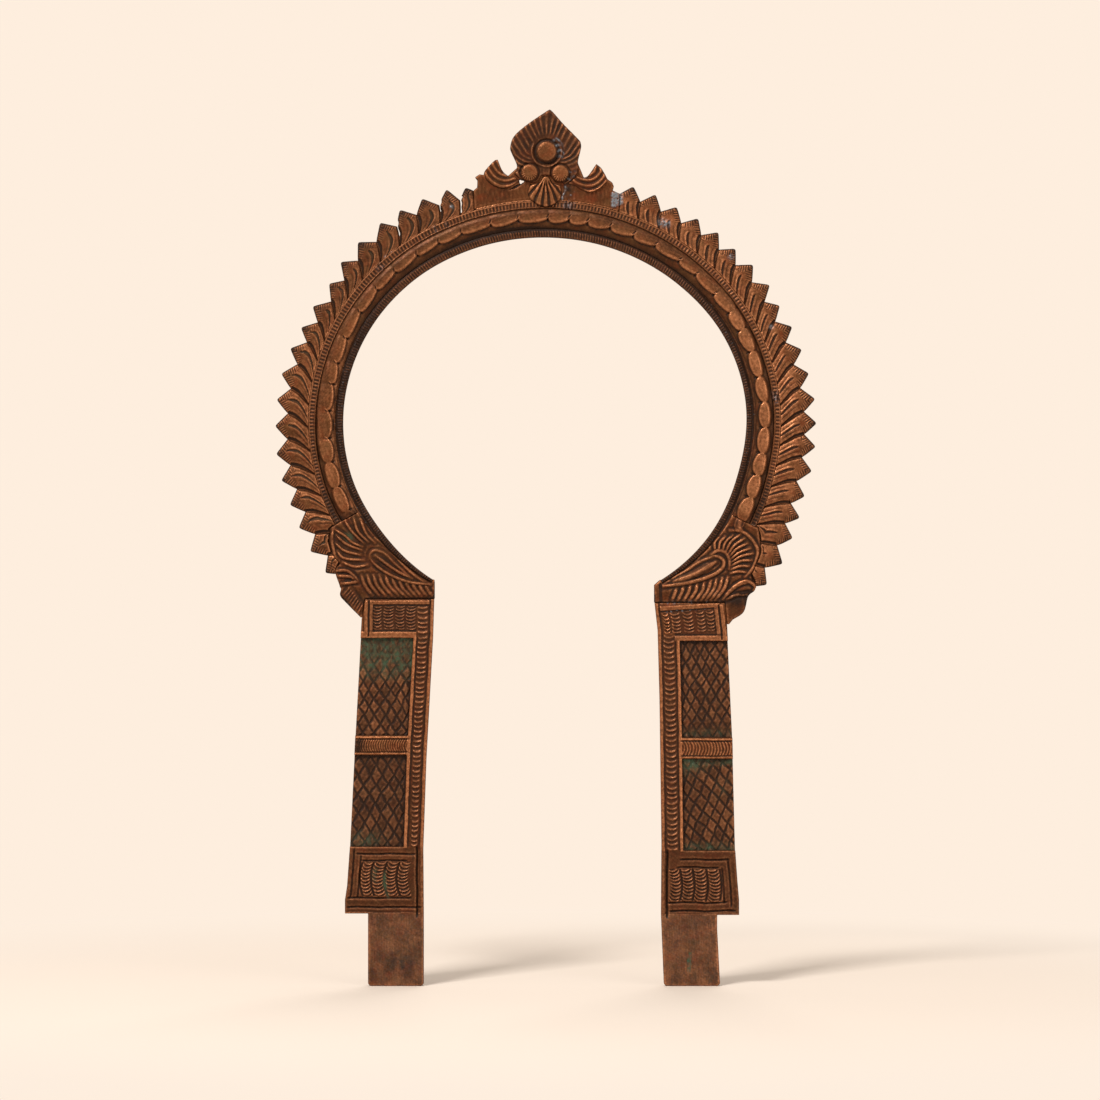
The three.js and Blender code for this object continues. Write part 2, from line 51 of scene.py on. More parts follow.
# All lengths are in millimetres until a mesh is made. A height is a distance in front of
# the ground plane y = 0, towards the viewer.
METRE = 0.001
STEP = 0.25  # grid of the reliefs
BACK_STEP = 1.6  # grid of the plain back faces
BACK = 2  # the back of every plate
SLIVER = 0.06  # a cut stays this share of a cell side away from its ends
SHARP_ANGLE = 62  # edges with more degrees than this stay sharp
BODY = "root"

# The opening, as in the CAD: its radius every 20 degrees, from the left over the top
OPENING_Z = 229.1
OPENING_STEP = 20
OPENING_RADIUS = np.array(
    [75.6, 78.8, 83.2, 86.1, 87.3, 87.1, 85.9, 85.1, 85.2, 85.8, 86.5, 85.3, 81.9, 79.5, 76.2]
)
RING_END = (-110.4, 111.7)
RIM_END = (-141, 140.6)
RIM_WIDTH = 3.7
RIM_TAIL = 1.5
BEAD_FOOT = 3.72  # where the wall of the bead meets the rim
DEGREE = 1.6  # millimetres along the ring for each degree
MEAN_RADIUS = 86  # of the opening
BAND_TICKS = (99, 1.45)  # radius of the band's ticks, and their pitch there
RIM_TICKS = (89, 1.15)
RIM_CLOSED = 112  # the rim is free beyond this turn
ROOT = 14.55  # where the leaves start under the band
CREST_Z = 327.8

# The ring was shaped by hand and wanders. Reach of its lines, read from the photo at turns:
RING_TURNS = (-112, -92, -76, -60, -48, -28, 0, 14, 24, 36, 48, 60, 70, 80, 90, 106, 112)
RING_LINES = {
    "rim": (2.8, 2.9, 3, 3.4, 3.5, 3.5, 3.4, 3.4, 3.5, 3.5, 3.3, 2.6, 2.4, 2.5, 2.6, 2.7, 2.8),
    "foot": (4.7, 4.4, 4.3, 5.5, 6, 6.2, 5.9, 6, 6.4, 6.4, 5.7, 4.9, 4.7, 4.7, 4.7, 4.6, 4.6),
    "cusp": (6.3, 6.7, 6.4, 7.2, 7.6, 7.9, 8.3, 8.3, 8.5, 8.3, 7.5, 7.2, 7, 7, 7, 7.2, 7.2),
    "band": (
        11.5, 11.6, 11.2, 11.2, 11.3, 11.6, 12, 12.2, 12, 11.8, 11.5, 11.3, 11.1, 11.3, 11.6,
        12, 12,
    ),
    "leaf": (
        14.6, 14.5, 14.7, 14.8, 14.9, 15.1, 15.4, 15.5, 15.4, 15.2, 14.8, 14.4, 14.1, 14.3, 14.6,
        14.9, 14.9,
    ),
}

# The waists between the facets of the bead, in degrees from the top
WAISTS = np.array([
    -116, -108.9, -102.1, -95.4, -89.2, -82.1, -75.1, -69.6, -62.9, -55.4, -48.3, -41.9, -35,
    -28.7, -22.4, -14.5, -7.3, 0.5, 6, 10.9, 16.9, 23.3, 29.5, 36.8, 42.4, 49.3, 55.4, 60.6,
    66.6, 73.3, 79.8, 86.2, 92.8, 98.9, 105.3, 111.9, 118,
])
OVALS = (-90, 53)  # outside these turns a facet has a waist on both sides


def spline(a, b, c, d, t):
    """A smooth curve from b to c that heeds a and d: its value and slope at t."""
    linear, square, cubic = c - a, 2 * a - 5 * b + 4 * c - d, 3 * (b - c) + d - a
    value = b + t * (linear + t * (square + t * cubic)) / 2
    return value, (linear + 2 * t * square + 3 * t * t * cubic) / 2


def opening_at(turn):
    """Radius of the opening at a turn, and its growth per radian."""
    last = len(OPENING_RADIUS) - 1
    place = turn / OPENING_STEP + last / 2
    index = clip(np.floor(place).astype(int), 0, last - 1)
    radii = np.pad(OPENING_RADIUS, 1, "reflect", reflect_type="odd")
    radius, slope = spline(*(radii[index + k] for k in range(4)), place - index)
    return radius, slope / math.radians(OPENING_STEP)


def arch_frame(turn):
    """The point of the inner edge at a turn, and the outward direction there."""
    radius, slope = opening_at(turn)
    angle = np.radians(turn)
    size = hypot(radius, slope)
    out_x = (radius * sin(angle) - slope * cos(angle)) / size
    out_z = (radius * cos(angle) + slope * sin(angle)) / size
    return radius * sin(angle), OPENING_Z + radius * cos(angle), out_x, out_z


def arch_point(turn, reach):
    x, z, out_x, out_z = arch_frame(turn)
    return x + reach * out_x, z + reach * out_z


def arch_place(x, z):
    """The turn and reach of a point."""
    turn = np.degrees(np.arctan2(x, z - OPENING_Z))
    for _ in range(8):
        edge_x, edge_z, out_x, out_z = arch_frame(turn)
        along = (x - edge_x) * out_z - (z - edge_z) * out_x
        far = hypot(x - edge_x, z - edge_z)
        turn = turn + np.degrees(along / (hypot(edge_x, edge_z - OPENING_Z) + far))
    edge_x, edge_z, out_x, out_z = arch_frame(turn)
    return turn, (x - edge_x) * out_x + (z - edge_z) * out_z


# Shapes with values from 0 to 1
def unit(v):
    return clip(v, 0, 1)


def window(v, low, high, soft=0.3):
    return unit((v - low) / soft + 0.5) * unit((high - v) / soft + 0.5)


def rounded(v):
    return sqrt(unit(1 - v * v))


def bell(v, middle=0, width=1):
    v = (v - middle) / width
    return np.exp(-v * v)


def smooth_step(v):
    v = unit(v)
    return v * v * (3 - 2 * v)


def wave(phase, sharp=1):
    """Ridges at whole phases, the narrower the sharper."""
    return (0.5 + 0.5 * cos(2 * np.pi * phase)) ** sharp


def ripple(x, z, size, seed):
    """Soft unevenness of about this size, mostly from -1 to 1, the same on every run."""
    pick = np.random.default_rng(seed).uniform
    total = 0 * x
    for _ in range(7):
        angle, length, push = pick(0, np.pi), size * pick(0.7, 1.6), pick(0, 2 * np.pi)
        total = total + sin(2 * np.pi * (x * cos(angle) + z * sin(angle)) / length + push)
    return total / 4


def blurred(field, cells):
    """A box blur over this many cells to each side, run twice along both axes."""
    wide = 2 * cells + 1
    for _ in range(4):
        sums = np.cumsum(np.pad(field, ((cells + 1, cells), (0, 0)), mode="edge"), axis=0)
        field = ((sums[wide:] - sums[:-wide]) / wide).T
    return field


# Outlines
CURVE_STEPS = 6  # at most, between two points


def smooth_line(points, corner, closed=False):
    """A soft curve through the points; corners sharper than this many degrees stay."""
    points = np.reshape(points, (-1, 2)).astype(float)
    count = len(points)
    before = points - np.roll(points, 1, axis=0)
    after = np.roll(points, -1, axis=0) - points
    sizes = np.linalg.norm(before, axis=1) * np.linalg.norm(after, axis=1)
    kept = np.sum(before * after, axis=1) / (sizes + 1e-9) < math.cos(math.radians(corner))
    if not closed:
        kept[[0, -1]] = True
    line = []
    for i in range(count if closed else count - 1):
        j = (i + 1) % count
        b, c = points[i], points[j]
        a = b - (c - b) if kept[i] else points[i - 1]
        d = c + (c - b) if kept[j] else points[(i + 2) % count]
        steps = max(1, min(CURVE_STEPS, int(np.linalg.norm(c - b) / 0.5)))
        line += [spline(a, b, c, d, k / steps)[0] for k in range(steps)]
    return np.array(line if closed else line + [points[-1]])


def outline_of(node, front=False):
    """The outline of a flat CAD piece, from the edges of its back or front face."""
    mesh = frame["nodes"][node].data
    mesh.calc_loop_triangles()
    places = np.array([v.co for v in mesh.vertices]) / METRE
    level = places[:, 1].min() if front else places[:, 1].max()
    keys = [tuple(np.round(p, 2)) for p in places]
    spot = dict(zip(keys, places))
    edges = {}
    for triangle in mesh.loop_triangles:
        corners = triangle.vertices
        if max(abs(places[c][1] - level) for c in corners) > 0.01:
            continue
        for a, b in ((0, 1), (1, 2), (2, 0)):
            edge = keys[corners[a]], keys[corners[b]]
            if not edges.pop(edge[::-1], False):
                edges[edge] = True
    following = dict(edges.keys())
    loop = [next(iter(following))]
    while following[loop[-1]] != loop[0]:
        loop.append(following[loop[-1]])
    return np.array([spot[key][[0, 2]] for key in loop])


def inside_distance(x, z, loop):
    """Distance from each point to a closed outline, positive inside."""
    best = np.full(np.shape(x), 1e9)
    inside = np.zeros(np.shape(x), bool)
    for (ax, az), (bx, bz) in zip(loop, np.roll(loop, -1, axis=0)):
        dx, dz = bx - ax, bz - az
        length = dx * dx + dz * dz
        if length < 1e-12:
            continue
        t = unit(((x - ax) * dx + (z - az) * dz) / length)
        best = minimum(best, (x - ax - t * dx) ** 2 + (z - az - t * dz) ** 2)
        if az != bz:
            inside ^= ((az > z) != (bz > z)) & (x < ax + (z - az) * dx / dz)
    return where(inside, 1, -1) * sqrt(best)


def along_line(x, z, points, reach=4):
    """Distance to a soft line through the points, and the place on it from 0 to 1. Points
    farther away than reach get a large distance."""
    line = smooth_line(points, 80)
    (low_x, low_z), (high_x, high_z) = line.min(axis=0) - reach, line.max(axis=0) + reach
    near = (x > low_x) & (x < high_x) & (z > low_z) & (z < high_z)
    px, pz = x[near], z[near]
    best, best_place = np.full(px.shape, 1e9), np.zeros(px.shape)
    sizes = hypot(*np.diff(line, axis=0).T)
    starts = np.concatenate([[0], np.cumsum(sizes)])
    for (ax, az), (dx, dz), size, start in zip(line, np.diff(line, axis=0), sizes, starts):
        t = unit(((px - ax) * dx + (pz - az) * dz) / (size ** 2 + 1e-12))
        far = (px - ax - t * dx) ** 2 + (pz - az - t * dz) ** 2
        closer = far < best
        best = where(closer, far, best)
        best_place = where(closer, (start + t * size) / starts[-1], best_place)
    distance, place = np.full(x.shape, 99.0), np.zeros(x.shape)
    distance[near], place[near] = sqrt(best), best_place
    return distance, place


def between(first, last, count):
    """Lines spread evenly from the first to the last."""
    return list(np.linspace(first, last, count))


# Meshes. Corners 0 to 3 of a cell, the cuts 4 to 7 of its sides, and what is inside:
CELL_SHAPES = {
    1: [[0, 4, 7]], 2: [[1, 5, 4]], 3: [[0, 1, 5, 7]], 4: [[2, 6, 5]],
    5: [[0, 4, 7], [2, 6, 5]], 6: [[1, 2, 6, 4]], 7: [[0, 1, 2, 6, 7]], 8: [[3, 7, 6]],
    9: [[0, 4, 6, 3]], 10: [[1, 5, 4], [3, 7, 6]], 11: [[0, 1, 5, 6, 3]], 12: [[2, 3, 7, 5]],
    13: [[0, 4, 5, 2, 3]], 14: [[1, 2, 3, 7, 4]], 15: [[0, 1, 2, 3]],
}


def surface(depth, fields):
    """Cuts a grid along depth = 0. Gives each field at the new points, and triangles."""
    inside = depth > 0
    values = [[f[inside] for f in fields]]
    count = int(inside.sum())
    corner = np.full(depth.shape, -1)
    corner[inside] = np.arange(count)
    cuts = []
    for first, second in ((np.s_[:, :-1], np.s_[:, 1:]), (np.s_[:-1], np.s_[1:])):
        crossing = inside[first] != inside[second]
        d0, d1 = depth[first][crossing], depth[second][crossing]
        t = clip(d0 / (d0 - d1), SLIVER, 1 - SLIVER)
        values.append([f[first][crossing] * (1 - t) + f[second][crossing] * t for f in fields])
        number = np.full(crossing.shape, -1)
        number[crossing] = count + np.arange(len(t))
        count += len(t)
        cuts.append(number)
    across, up = cuts
    slots = [
        corner[:-1, :-1], corner[:-1, 1:], corner[1:, 1:], corner[1:, :-1],
        across[:-1], up[:, 1:], across[1:], up[:, :-1],
    ]
    code = sum((slots[k] >= 0) * 2 ** k for k in range(4))
    triangles = []
    for key, polygons in CELL_SHAPES.items():
        for polygon in polygons:
            ids = [slots[s][code == key] for s in polygon]
            triangles += [stack([ids[0], b, c], axis=1) for b, c in zip(ids[1:], ids[2:])]
    return [np.concatenate(v) for v in zip(*values)], np.concatenate(triangles)


def rim_edges(triangles):
    """The directed edges that only one triangle uses."""
    edges = np.concatenate([triangles[:, pair] for pair in ([0, 1], [1, 2], [2, 0])])
    size = triangles.max() + 1
    return edges[~np.isin(edges @ [size, 1], edges @ [1, size])]


def back_face(x, z, edges, inside, creases):
    """Triangles of a plain back face inside the rim edges, its points, and the rim point
    that each of them is, or -1."""
    rim = np.unique(edges)
    points = stack([x[rim], z[rim]], axis=1).tolist()
    lines = np.searchsorted(rim, edges).tolist()
    for crease in creases:
        start, size = len(points), len(crease)
        points += crease.tolist()
        lines += [(start + i, start + (i + 1) % size) for i in range(size)]
    grid_x, grid_z = np.meshgrid(
        np.arange(x.min(), x.max(), BACK_STEP), np.arange(z.min(), z.max(), BACK_STEP)
    )
    grid_x = grid_x + (np.arange(grid_x.shape[0])[:, None] % 2) * BACK_STEP / 2
    keep = inside(grid_x, grid_z) > BACK_STEP * 0.45
    points += stack([grid_x[keep], grid_z[keep]], axis=1).tolist()
    spots, _, faces, origins, _, _ = delaunay_2d_cdt(
        [Vector(p) for p in points], lines, [], 1, 1e-5
    )
    spots = np.array([tuple(p) for p in spots])
    faces = np.array([f[:] for f in faces if len(f) == 3])
    middle = spots[faces].mean(axis=1)
    faces = faces[inside(middle[:, 0], middle[:, 1]) > -0.02]
    owner = [rim[o[0]] if len(o) and o[0] < len(rim) else -1 for o in origins]
    return spots, faces, np.array(owner)


def back_finish(x, z, seed):
    """Unevenness and paint of the backs: hammered sheet with smeared solder at the joints."""
    turn, reach = arch_place(x, z)
    sway = 0.5 * ripple(x, z, 11, 6)
    joint = bell((reach - ROOT + sway) / 1.5) * (abs(turn) < RIM_CLOSED)
    joint = maximum(joint, bell((z - 161.6 + sway) / 1.5) * (abs(x) > 45))
    smear = unit(joint * (0.25 + 0.75 * ripple(x, z, 9, 5)))
    uneven = 0.16 * ripple(x, z, 7, seed) + 0.06 * ripple(x, z, 2.6, seed + 1) + 0.2 * smear
    worn = 0.1 + 0.1 * ripple(x, z, 9, seed + 2)
    deep = 0.3 + 0.25 * ripple(x, z, 17, 7) + 0.25 * joint
    green = unit(0.5 * ripple(x, z, 21, 8) - 0.25)
    return clip(uneven, -0.3, 0.3), unit(stack([worn, deep, green, 0.75 * smear], axis=-1))


def add(node, x, z, depth, height, inside, back=None, creases=(), **look):
    """The closed piece for a node: relief in front, walls along the rim, and a back. A plain
    back is uneven sheet at BACK; back may also be a level, or a level for each point. look
    says the wear and painted highlight, the deep tarnish and painted shade, green and grey."""
    name = node + "_relief"
    seed = sum(map(ord, name))
    fields = [x, z, height] + paint_from_relief(height, **look)
    (px, pz, ph, *colours), triangles = surface(depth, fields)
    edges = rim_edges(triangles)
    plain = back is None

    def back_at(a, b):
        return back(a, b) if callable(back) else np.full(a.shape, BACK if plain else back)

    count = len(px)
    rim = np.unique(edges)
    behind = np.full(count, -1)
    behind[rim] = count + np.arange(len(rim))
    rim_paint = back_finish(px[rim], pz[rim], seed)[1]
    rim_back = back_at(px[rim], pz[rim]) - 0.12 * plain
    spread, back_faces, owner = back_face(px, pz, edges, inside, creases)
    number = where(owner >= 0, behind[maximum(owner, 0)], -1)
    new = number < 0
    number[new] = count + len(rim) + np.arange(new.sum())
    nx, nz = spread[new].T
    uneven, new_paint = back_finish(nx, nz, seed)
    spots = np.concatenate([
        stack([px, -ph, pz], axis=1),
        stack([px[rim], rim_back, pz[rim]], axis=1),
        stack([nx, back_at(nx, nz) + uneven * plain, nz], axis=1),
    ])
    a, b = edges.T
    faces = np.concatenate([
        triangles,
        stack([b, a, behind[a]], axis=1),
        stack([b, behind[a], behind[b]], axis=1),
        number[back_faces][:, ::-1],
    ])
    tones = np.concatenate([stack(colours, axis=1), rim_paint, new_paint])

    mesh = bpy.data.meshes.new(name)
    mesh.vertices.add(len(spots))
    mesh.vertices.foreach_set("co", (spots * METRE).astype(np.float32).ravel())
    mesh.loops.add(3 * len(faces))
    mesh.loops.foreach_set("vertex_index", faces.astype(np.int32).ravel())
    mesh.polygons.add(len(faces))
    mesh.polygons.foreach_set("loop_start", np.arange(0, 3 * len(faces), 3, dtype=np.int32))
    mesh.update(calc_edges=True)
    layer = mesh.attributes.new("paint", "FLOAT_COLOR", "POINT")
    layer.data.foreach_set("color", unit(tones).astype(np.float32).ravel())
    mesh.validate()
    mesh.shade_smooth()
    mesh.set_sharp_from_angle(angle=math.radians(SHARP_ANGLE))
    mesh.materials.append(MATERIALS[SLOT_OF[node]])
    piece = show(name, mesh)
    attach(piece, BODY)
    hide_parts(node)


def show(name, data):
    thing = bpy.data.objects.new(name, data)
    bpy.context.scene.collection.objects.link(thing)
    return thing


# Plain copper, and the colours of the four paint channels: wear and painted highlight, deep
# (tarnish and painted shade), green and grey
MID = (0.093, 0.029, 0.0083, 1)
WEAR_HIGHLIGHT = (0.405, 0.158, 0.067, 1)
DEEP = (0.018, 0.007, 0.003, 1)
GREEN = (0.04, 0.066, 0.034, 1)
GREY = (0.155, 0.17, 0.185, 1)
CREAM = (0.991, 0.855, 0.73, 1)  # what is around the part


def feed(tree, node, inputs):
    """Sets or links inputs of a node, by name or number. A node gives its first output."""
    sockets = [s for s in node.inputs if s.enabled]
    for key, value in inputs.items():
        socket = sockets[key] if isinstance(key, int) else [s for s in sockets if s.name == key][0]
        if isinstance(value, bpy.types.Node):
            value = [s for s in value.outputs if s.enabled][0]
        if isinstance(value, bpy.types.NodeSocket):
            tree.links.new(value, socket)
        else:
            socket.default_value = value


def new_node(tree, kind, inputs={}, **settings):
    node = tree.nodes.new("ShaderNode" + kind)
    for key, value in settings.items():
        setattr(node, key, value)
    feed(tree, node, inputs)
    return node


def new_material(name):
    material = bpy.data.materials.new(name)
    material.use_nodes = True
    return material, material.node_tree, material.node_tree.nodes["Principled BSDF"]


def copper_material(name, tint, shine, rough):
    """Old copper coloured by the paint on the mesh: wear and painted highlight, tarnish and painted
    shade, green and grey.
    """
    material, tree, shader = new_material(name)
    place = new_node(tree, "TexCoord").outputs["Object"]
    paint = new_node(tree, "Attribute", attribute_name="paint").outputs
    split = new_node(tree, "SeparateColor", {"Color": paint["Color"]}).outputs

    def noise(scale, detail, roughness=0.6):
        inputs = {"Vector": place, "Scale": scale, "Detail": detail, "Roughness": roughness}
        return new_node(tree, "TexNoise", inputs)

    def spread(value, low, high):
        return new_node(tree, "MapRange", {"Value": value, "From Min": low, "From Max": high})

    def calc(kind, a, b):
        return new_node(tree, "Math", {0: a, 1: b}, operation=kind)

    def mixed(factor, a, b):
        inputs = {"Factor": factor, "A": a, "B": b}
        return new_node(tree, "Mix", inputs, data_type="RGBA", clamp_factor=True)

    def tone(*scale):
        return tuple(m * t * s for m, t, s in zip(MID, tint, scale)) + (1,)

    blotch, grain = noise(70, 6), noise(900, 5, 0.7)
    colour = mixed(spread(blotch, 0.35, 0.65), tone(0.55, 0.55, 0.55), tone(1.3, 1.3, 1.3))
    for source, low, high, scale in (
        (noise(1500, 3, 0.7), 0.42, 0.85, (0.3, 0.3, 0.3)),  # pores
        (noise(260, 5), 0.48, 0.72, (1.3, 0.85, 0.8)),  # redder
        (noise(190, 4), 0.5, 0.7, (0.95, 1.2, 1.3)),  # olive
    ):
        colour = mixed(spread(source, low, high), colour, tone(*scale))
    fleck = calc("MULTIPLY", spread(grain, 0.35, 0.75), 1.3)
    for amount, uneven, end in (
        (split["Red"], calc("ADD", fleck, 0.35), WEAR_HIGHLIGHT),
        (split["Green"], calc("SUBTRACT", 1.25, calc("MULTIPLY", fleck, 0.4)), DEEP),
        (split["Blue"], calc("ADD", spread(noise(420, 4), 0.4, 0.62), 0.25), GREEN),
        (paint["Alpha"], calc("ADD", spread(noise(1200, 3), 0.4, 0.6), 0.35), GREY),
    ):
        colour = mixed(calc("MULTIPLY", amount, uneven), colour, end)
    dull = calc("ADD", split["Green"], split["Blue"])
    roughness = calc("ADD", calc("MULTIPLY", spread(blotch, 0.3, 0.7), 0.14), rough)
    feed(tree, shader, {
        "Base Color": colour,
        "Metallic": calc("SUBTRACT", shine, calc("MULTIPLY", dull, 0.45)),
        "Roughness": calc("SUBTRACT", roughness, calc("MULTIPLY", split["Red"], 0.2)),
        "Specular IOR Level": 0.15,
        "Normal": new_node(tree, "Bump", {"Strength": 0.35, "Distance": 0.00015, "Height": grain}),
    })
    return material


COPPERS = {  # tint, metallic and roughness
    "patina_copper": ((1, 1, 1), 0.72, 0.5),
    "leaf_copper": ((1, 1.05, 1.1), 0.72, 0.5),
    "frame_copper": ((0.92, 0.92, 0.95), 0.72, 0.5),
    "worn_copper": ((1.1, 1.2, 1.2), 0.72, 0.42),
    "dark_copper": ((0.75, 0.78, 0.9), 0.65, 0.52),
    "back_copper": ((0.7, 0.7, 0.8), 0.65, 0.56),
    "verdigris_copper": ((0.72, 0.85, 1.05), 0.6, 0.52),
}
MATERIALS = {name: copper_material(name, *look) for name, look in COPPERS.items()}
SLOT_OF = {s["node"]: s["material_slot"] for s in frame["record"]["subparts"]}


def grid_over(loop, step=STEP, pad=1.2):
    low, high = loop.min(axis=0) - pad, loop.max(axis=0) + pad
    return np.meshgrid(np.arange(low[0], high[0], step), np.arange(low[1], high[1], step))


def blank(loop, grow=0):
    """A grid over an outline, noise on it, and how deep inside it a point is, here and as a
    function."""
    x, z = grid_over(loop)
    inside = lambda a, b: inside_distance(a, b, loop) + grow
    return x, z, partial(ripple, x, z), inside(x, z), inside


def blank_of(node, corner):
    return blank(smooth_line(outline_of(node), corner, closed=True))


def polar(x, z):
    """Distance from the origin, and degrees from the upright."""
    return hypot(x, z), np.degrees(np.arctan2(x, z))


def soften(height, depth, radius, drop):
    """Rounds the edge of a piece down."""
    t = unit(depth / radius)
    return height - drop * (1 - sqrt(1 - (1 - t) ** 2))


def paint_from_relief(height, worn=0, deep=0, green=0, grey=0, reach=0.8, gain=4, step=STEP):
    """Paint from the relief, like ambient occlusion: high places get wear and a painted highlight,
    low ones get dark tarnish and painted shade, plus what is given.
    """
    relief = gain * (height - blurred(height, max(1, int(round(reach / step / 1.5)))))
    layers = [unit(relief) + worn, clip(-relief, 0, 1.2) + deep, green, grey]
    return [unit(layer + 0 * height) for layer in layers]


# The ring
def add_strip(node, ends, low, high, relief, back=None, step=STEP):
    """A strip of the ring between two turns. low and high give its reach at a turn."""
    turns = np.linspace(*ends, int((ends[1] - ends[0]) * 1.66 / step))
    width = np.mean(high(turns) - low(turns))
    turn, share = np.meshgrid(turns, np.linspace(0, 1, max(4, int(width / step) + 1)))
    reach = low(turn) + share * (high(turn) - low(turn))
    x, z = arch_point(turn, reach)
    height, look = relief(turn, reach, partial(ripple, x, z))

    def inside(a, b):
        t, r = arch_place(a, b)
        along = minimum(t - ends[0], ends[1] - t) * DEGREE
        return minimum(minimum(r - low(t), high(t) - r), along)

    add(node, x, z, np.ones(x.shape), height, inside, back, **look)


def ticks_at(turn, radius, pitch):
    return np.radians(turn) * radius / pitch


def line_at(name, turn):
    return np.interp(turn, RING_TURNS, RING_LINES[name])


def wall_height(turn, reach):
    """The slope from the dark line at the rim up to the facets of the bead."""
    start = line_at("rim", turn) + 0.15
    share = unit((reach - start) / (line_at("foot", turn) + 0.7 - start))
    return share, 0.32 + 1.25 * sin(share * np.pi / 2)


def painted_shadow_and_light(turn, reach):
    """A painted shadow under the bead at the top left, and painted light on the left end of the
    arch.
    """
    return window(turn, -27, -2, 7) * bell(reach, 4.1, 0.95), window(turn, -200, -62, 10)


def bead_relief(turn, reach, noise):
    rim, foot, cusp, band = (line_at(name, turn) for name in ("rim", "foot", "cusp", "band"))
    index = clip(np.searchsorted(WAISTS, turn, side="right") - 1, 0, len(WAISTS) - 2)
    first, last = WAISTS[index], WAISTS[index + 1]
    s = 2 * (turn - first) / (last - first) - 1
    near = (1 - abs(s)) * (last - first) / 2 * 1.62
    calm = window(turn, -80, 66, 12)
    lean = s + 0.28 * calm * (1 - s * s)
    pinch = 1 - unit(1 - lean * lean) ** (0.6 - 0.2 * calm)
    oval = unit((OVALS[0] - turn) / 5) + unit((turn - OVALS[1]) / 4)
    inner = foot + 0.22 * ripple(turn, 0 * turn, 13, 3) + (cusp - foot) * pinch
    outer = band - 0.5 + 0.9 * calm - oval * (0.7 + 1.5 * pinch)
    outer = outer + 0.1 * ripple(turn, 0 * turn, 9, 5)
    centre = (inner + outer) / 2
    climb, wall = wall_height(turn, reach)
    height = 0.5 + 1.35 * sin(np.pi * unit((reach - rim) / (band - rim))) ** 0.5
    height = minimum(wall, height)
    facet = smooth_step((reach - inner) / 0.8 + 0.3) * smooth_step((outer - reach) / 1.7 + 0.45)
    height = maximum(height, 0.85 * calm * smooth_step((reach - inner - 1.2) / 1.2))
    height += (1.05 + 0.42 * (1 - s * s) * rounded((reach - centre) / 3.4)) * facet
    notch = bell(near / 0.4) * window(reach, foot + 0.4, cusp, 0.8)
    hook_place = where(s < 0, near, -near) - 0.55 * (reach - cusp)
    hook_span = window(reach, cusp - 0.2, cusp + 1.3, 0.5) * (1 - oval)
    hook = bell(hook_place / 0.28) * hook_span
    nick = bell((hook_place + 0.5) / 0.3) * hook_span
    height += 0.16 * hook - (0.2 + 0.15 * calm) * nick - 0.3 * notch
    taper = smooth_step(minimum(turn - RING_END[0], RING_END[1] - turn) * DEGREE / 4)
    stop = where(turn < 0, 1.4, 2.2)
    height = where(height > stop, stop + (height - stop) * taper, height)
    height += 0.05 * noise(3.1, 4) + 0.02 * noise(1, 6)
    # lip: a bright line along the inner edge of each facet, wear on the polished edge and a painted
    # highlight
    lip = bell((reach - inner - 0.35 - 0.2 * calm) / (0.42 + 0.25 * calm))
    lip = lip * (1 - 0.6 * oval - 0.5 * window(turn, -92, -62, 6))
    neck = oval * bell(near / 0.35) * bell(reach, centre, 0.8)
    # shine: brighter towards the right end, with a painted highlight in the middle of each facet
    shine = 0.092 + 0.26 * smooth_step((turn - 40) / 20)
    shine = shine + 0.14 * ripple(turn * 3, reach * 3, 2.6, 7)
    shine = shine + (1 - s * s) * bell(reach, 8, 1.6) * (0.16 + 0.2 * oval)
    # shadow is a painted shadow at the top left, left adds painted light on the left end
    shadow, left = painted_shadow_and_light(turn, reach)
    # The facets, lips and the hooks at the cusps get painted highlights; the necks get wear.
    worn = shine * facet + 0.42 * (1 + calm) * lip + 0.4 * neck + 0.4 * hook
    worn += 0.35 * left * (1 - facet) * window(reach, -1, cusp, 1.5)
    # Painted shade: darker down the wall towards the rim (less of it on the left end), in the
    # notches and nicks, along the band and at the left end under the fan.
    deep = 0.42 * (1 - climb) ** 1.5 * (1 - 0.75 * left) + 0.2 * (1 - facet) * (1 - 0.5 * left)
    deep = deep + 0.4 * notch + (0.5 - 0.4 * calm) * bell(reach, band, 1.1) + 0.07
    deep = deep + 0.35 * nick + 0.6 * shadow + 0.5 * (1 - taper) * (turn < 0)
    # outward paints shade on the outer part of the facets, against the light from above; facets
    # over the top are darker too.
    outward = bell((reach - band + 1.4) / 1.3)
    deep = deep + (0.3 * calm * outward + 0.14 * window(turn, -55, 40, 20)) * facet
    return height, {"worn": worn * (0.4 + 0.6 * taper), "deep": deep, "gain": 2.4}


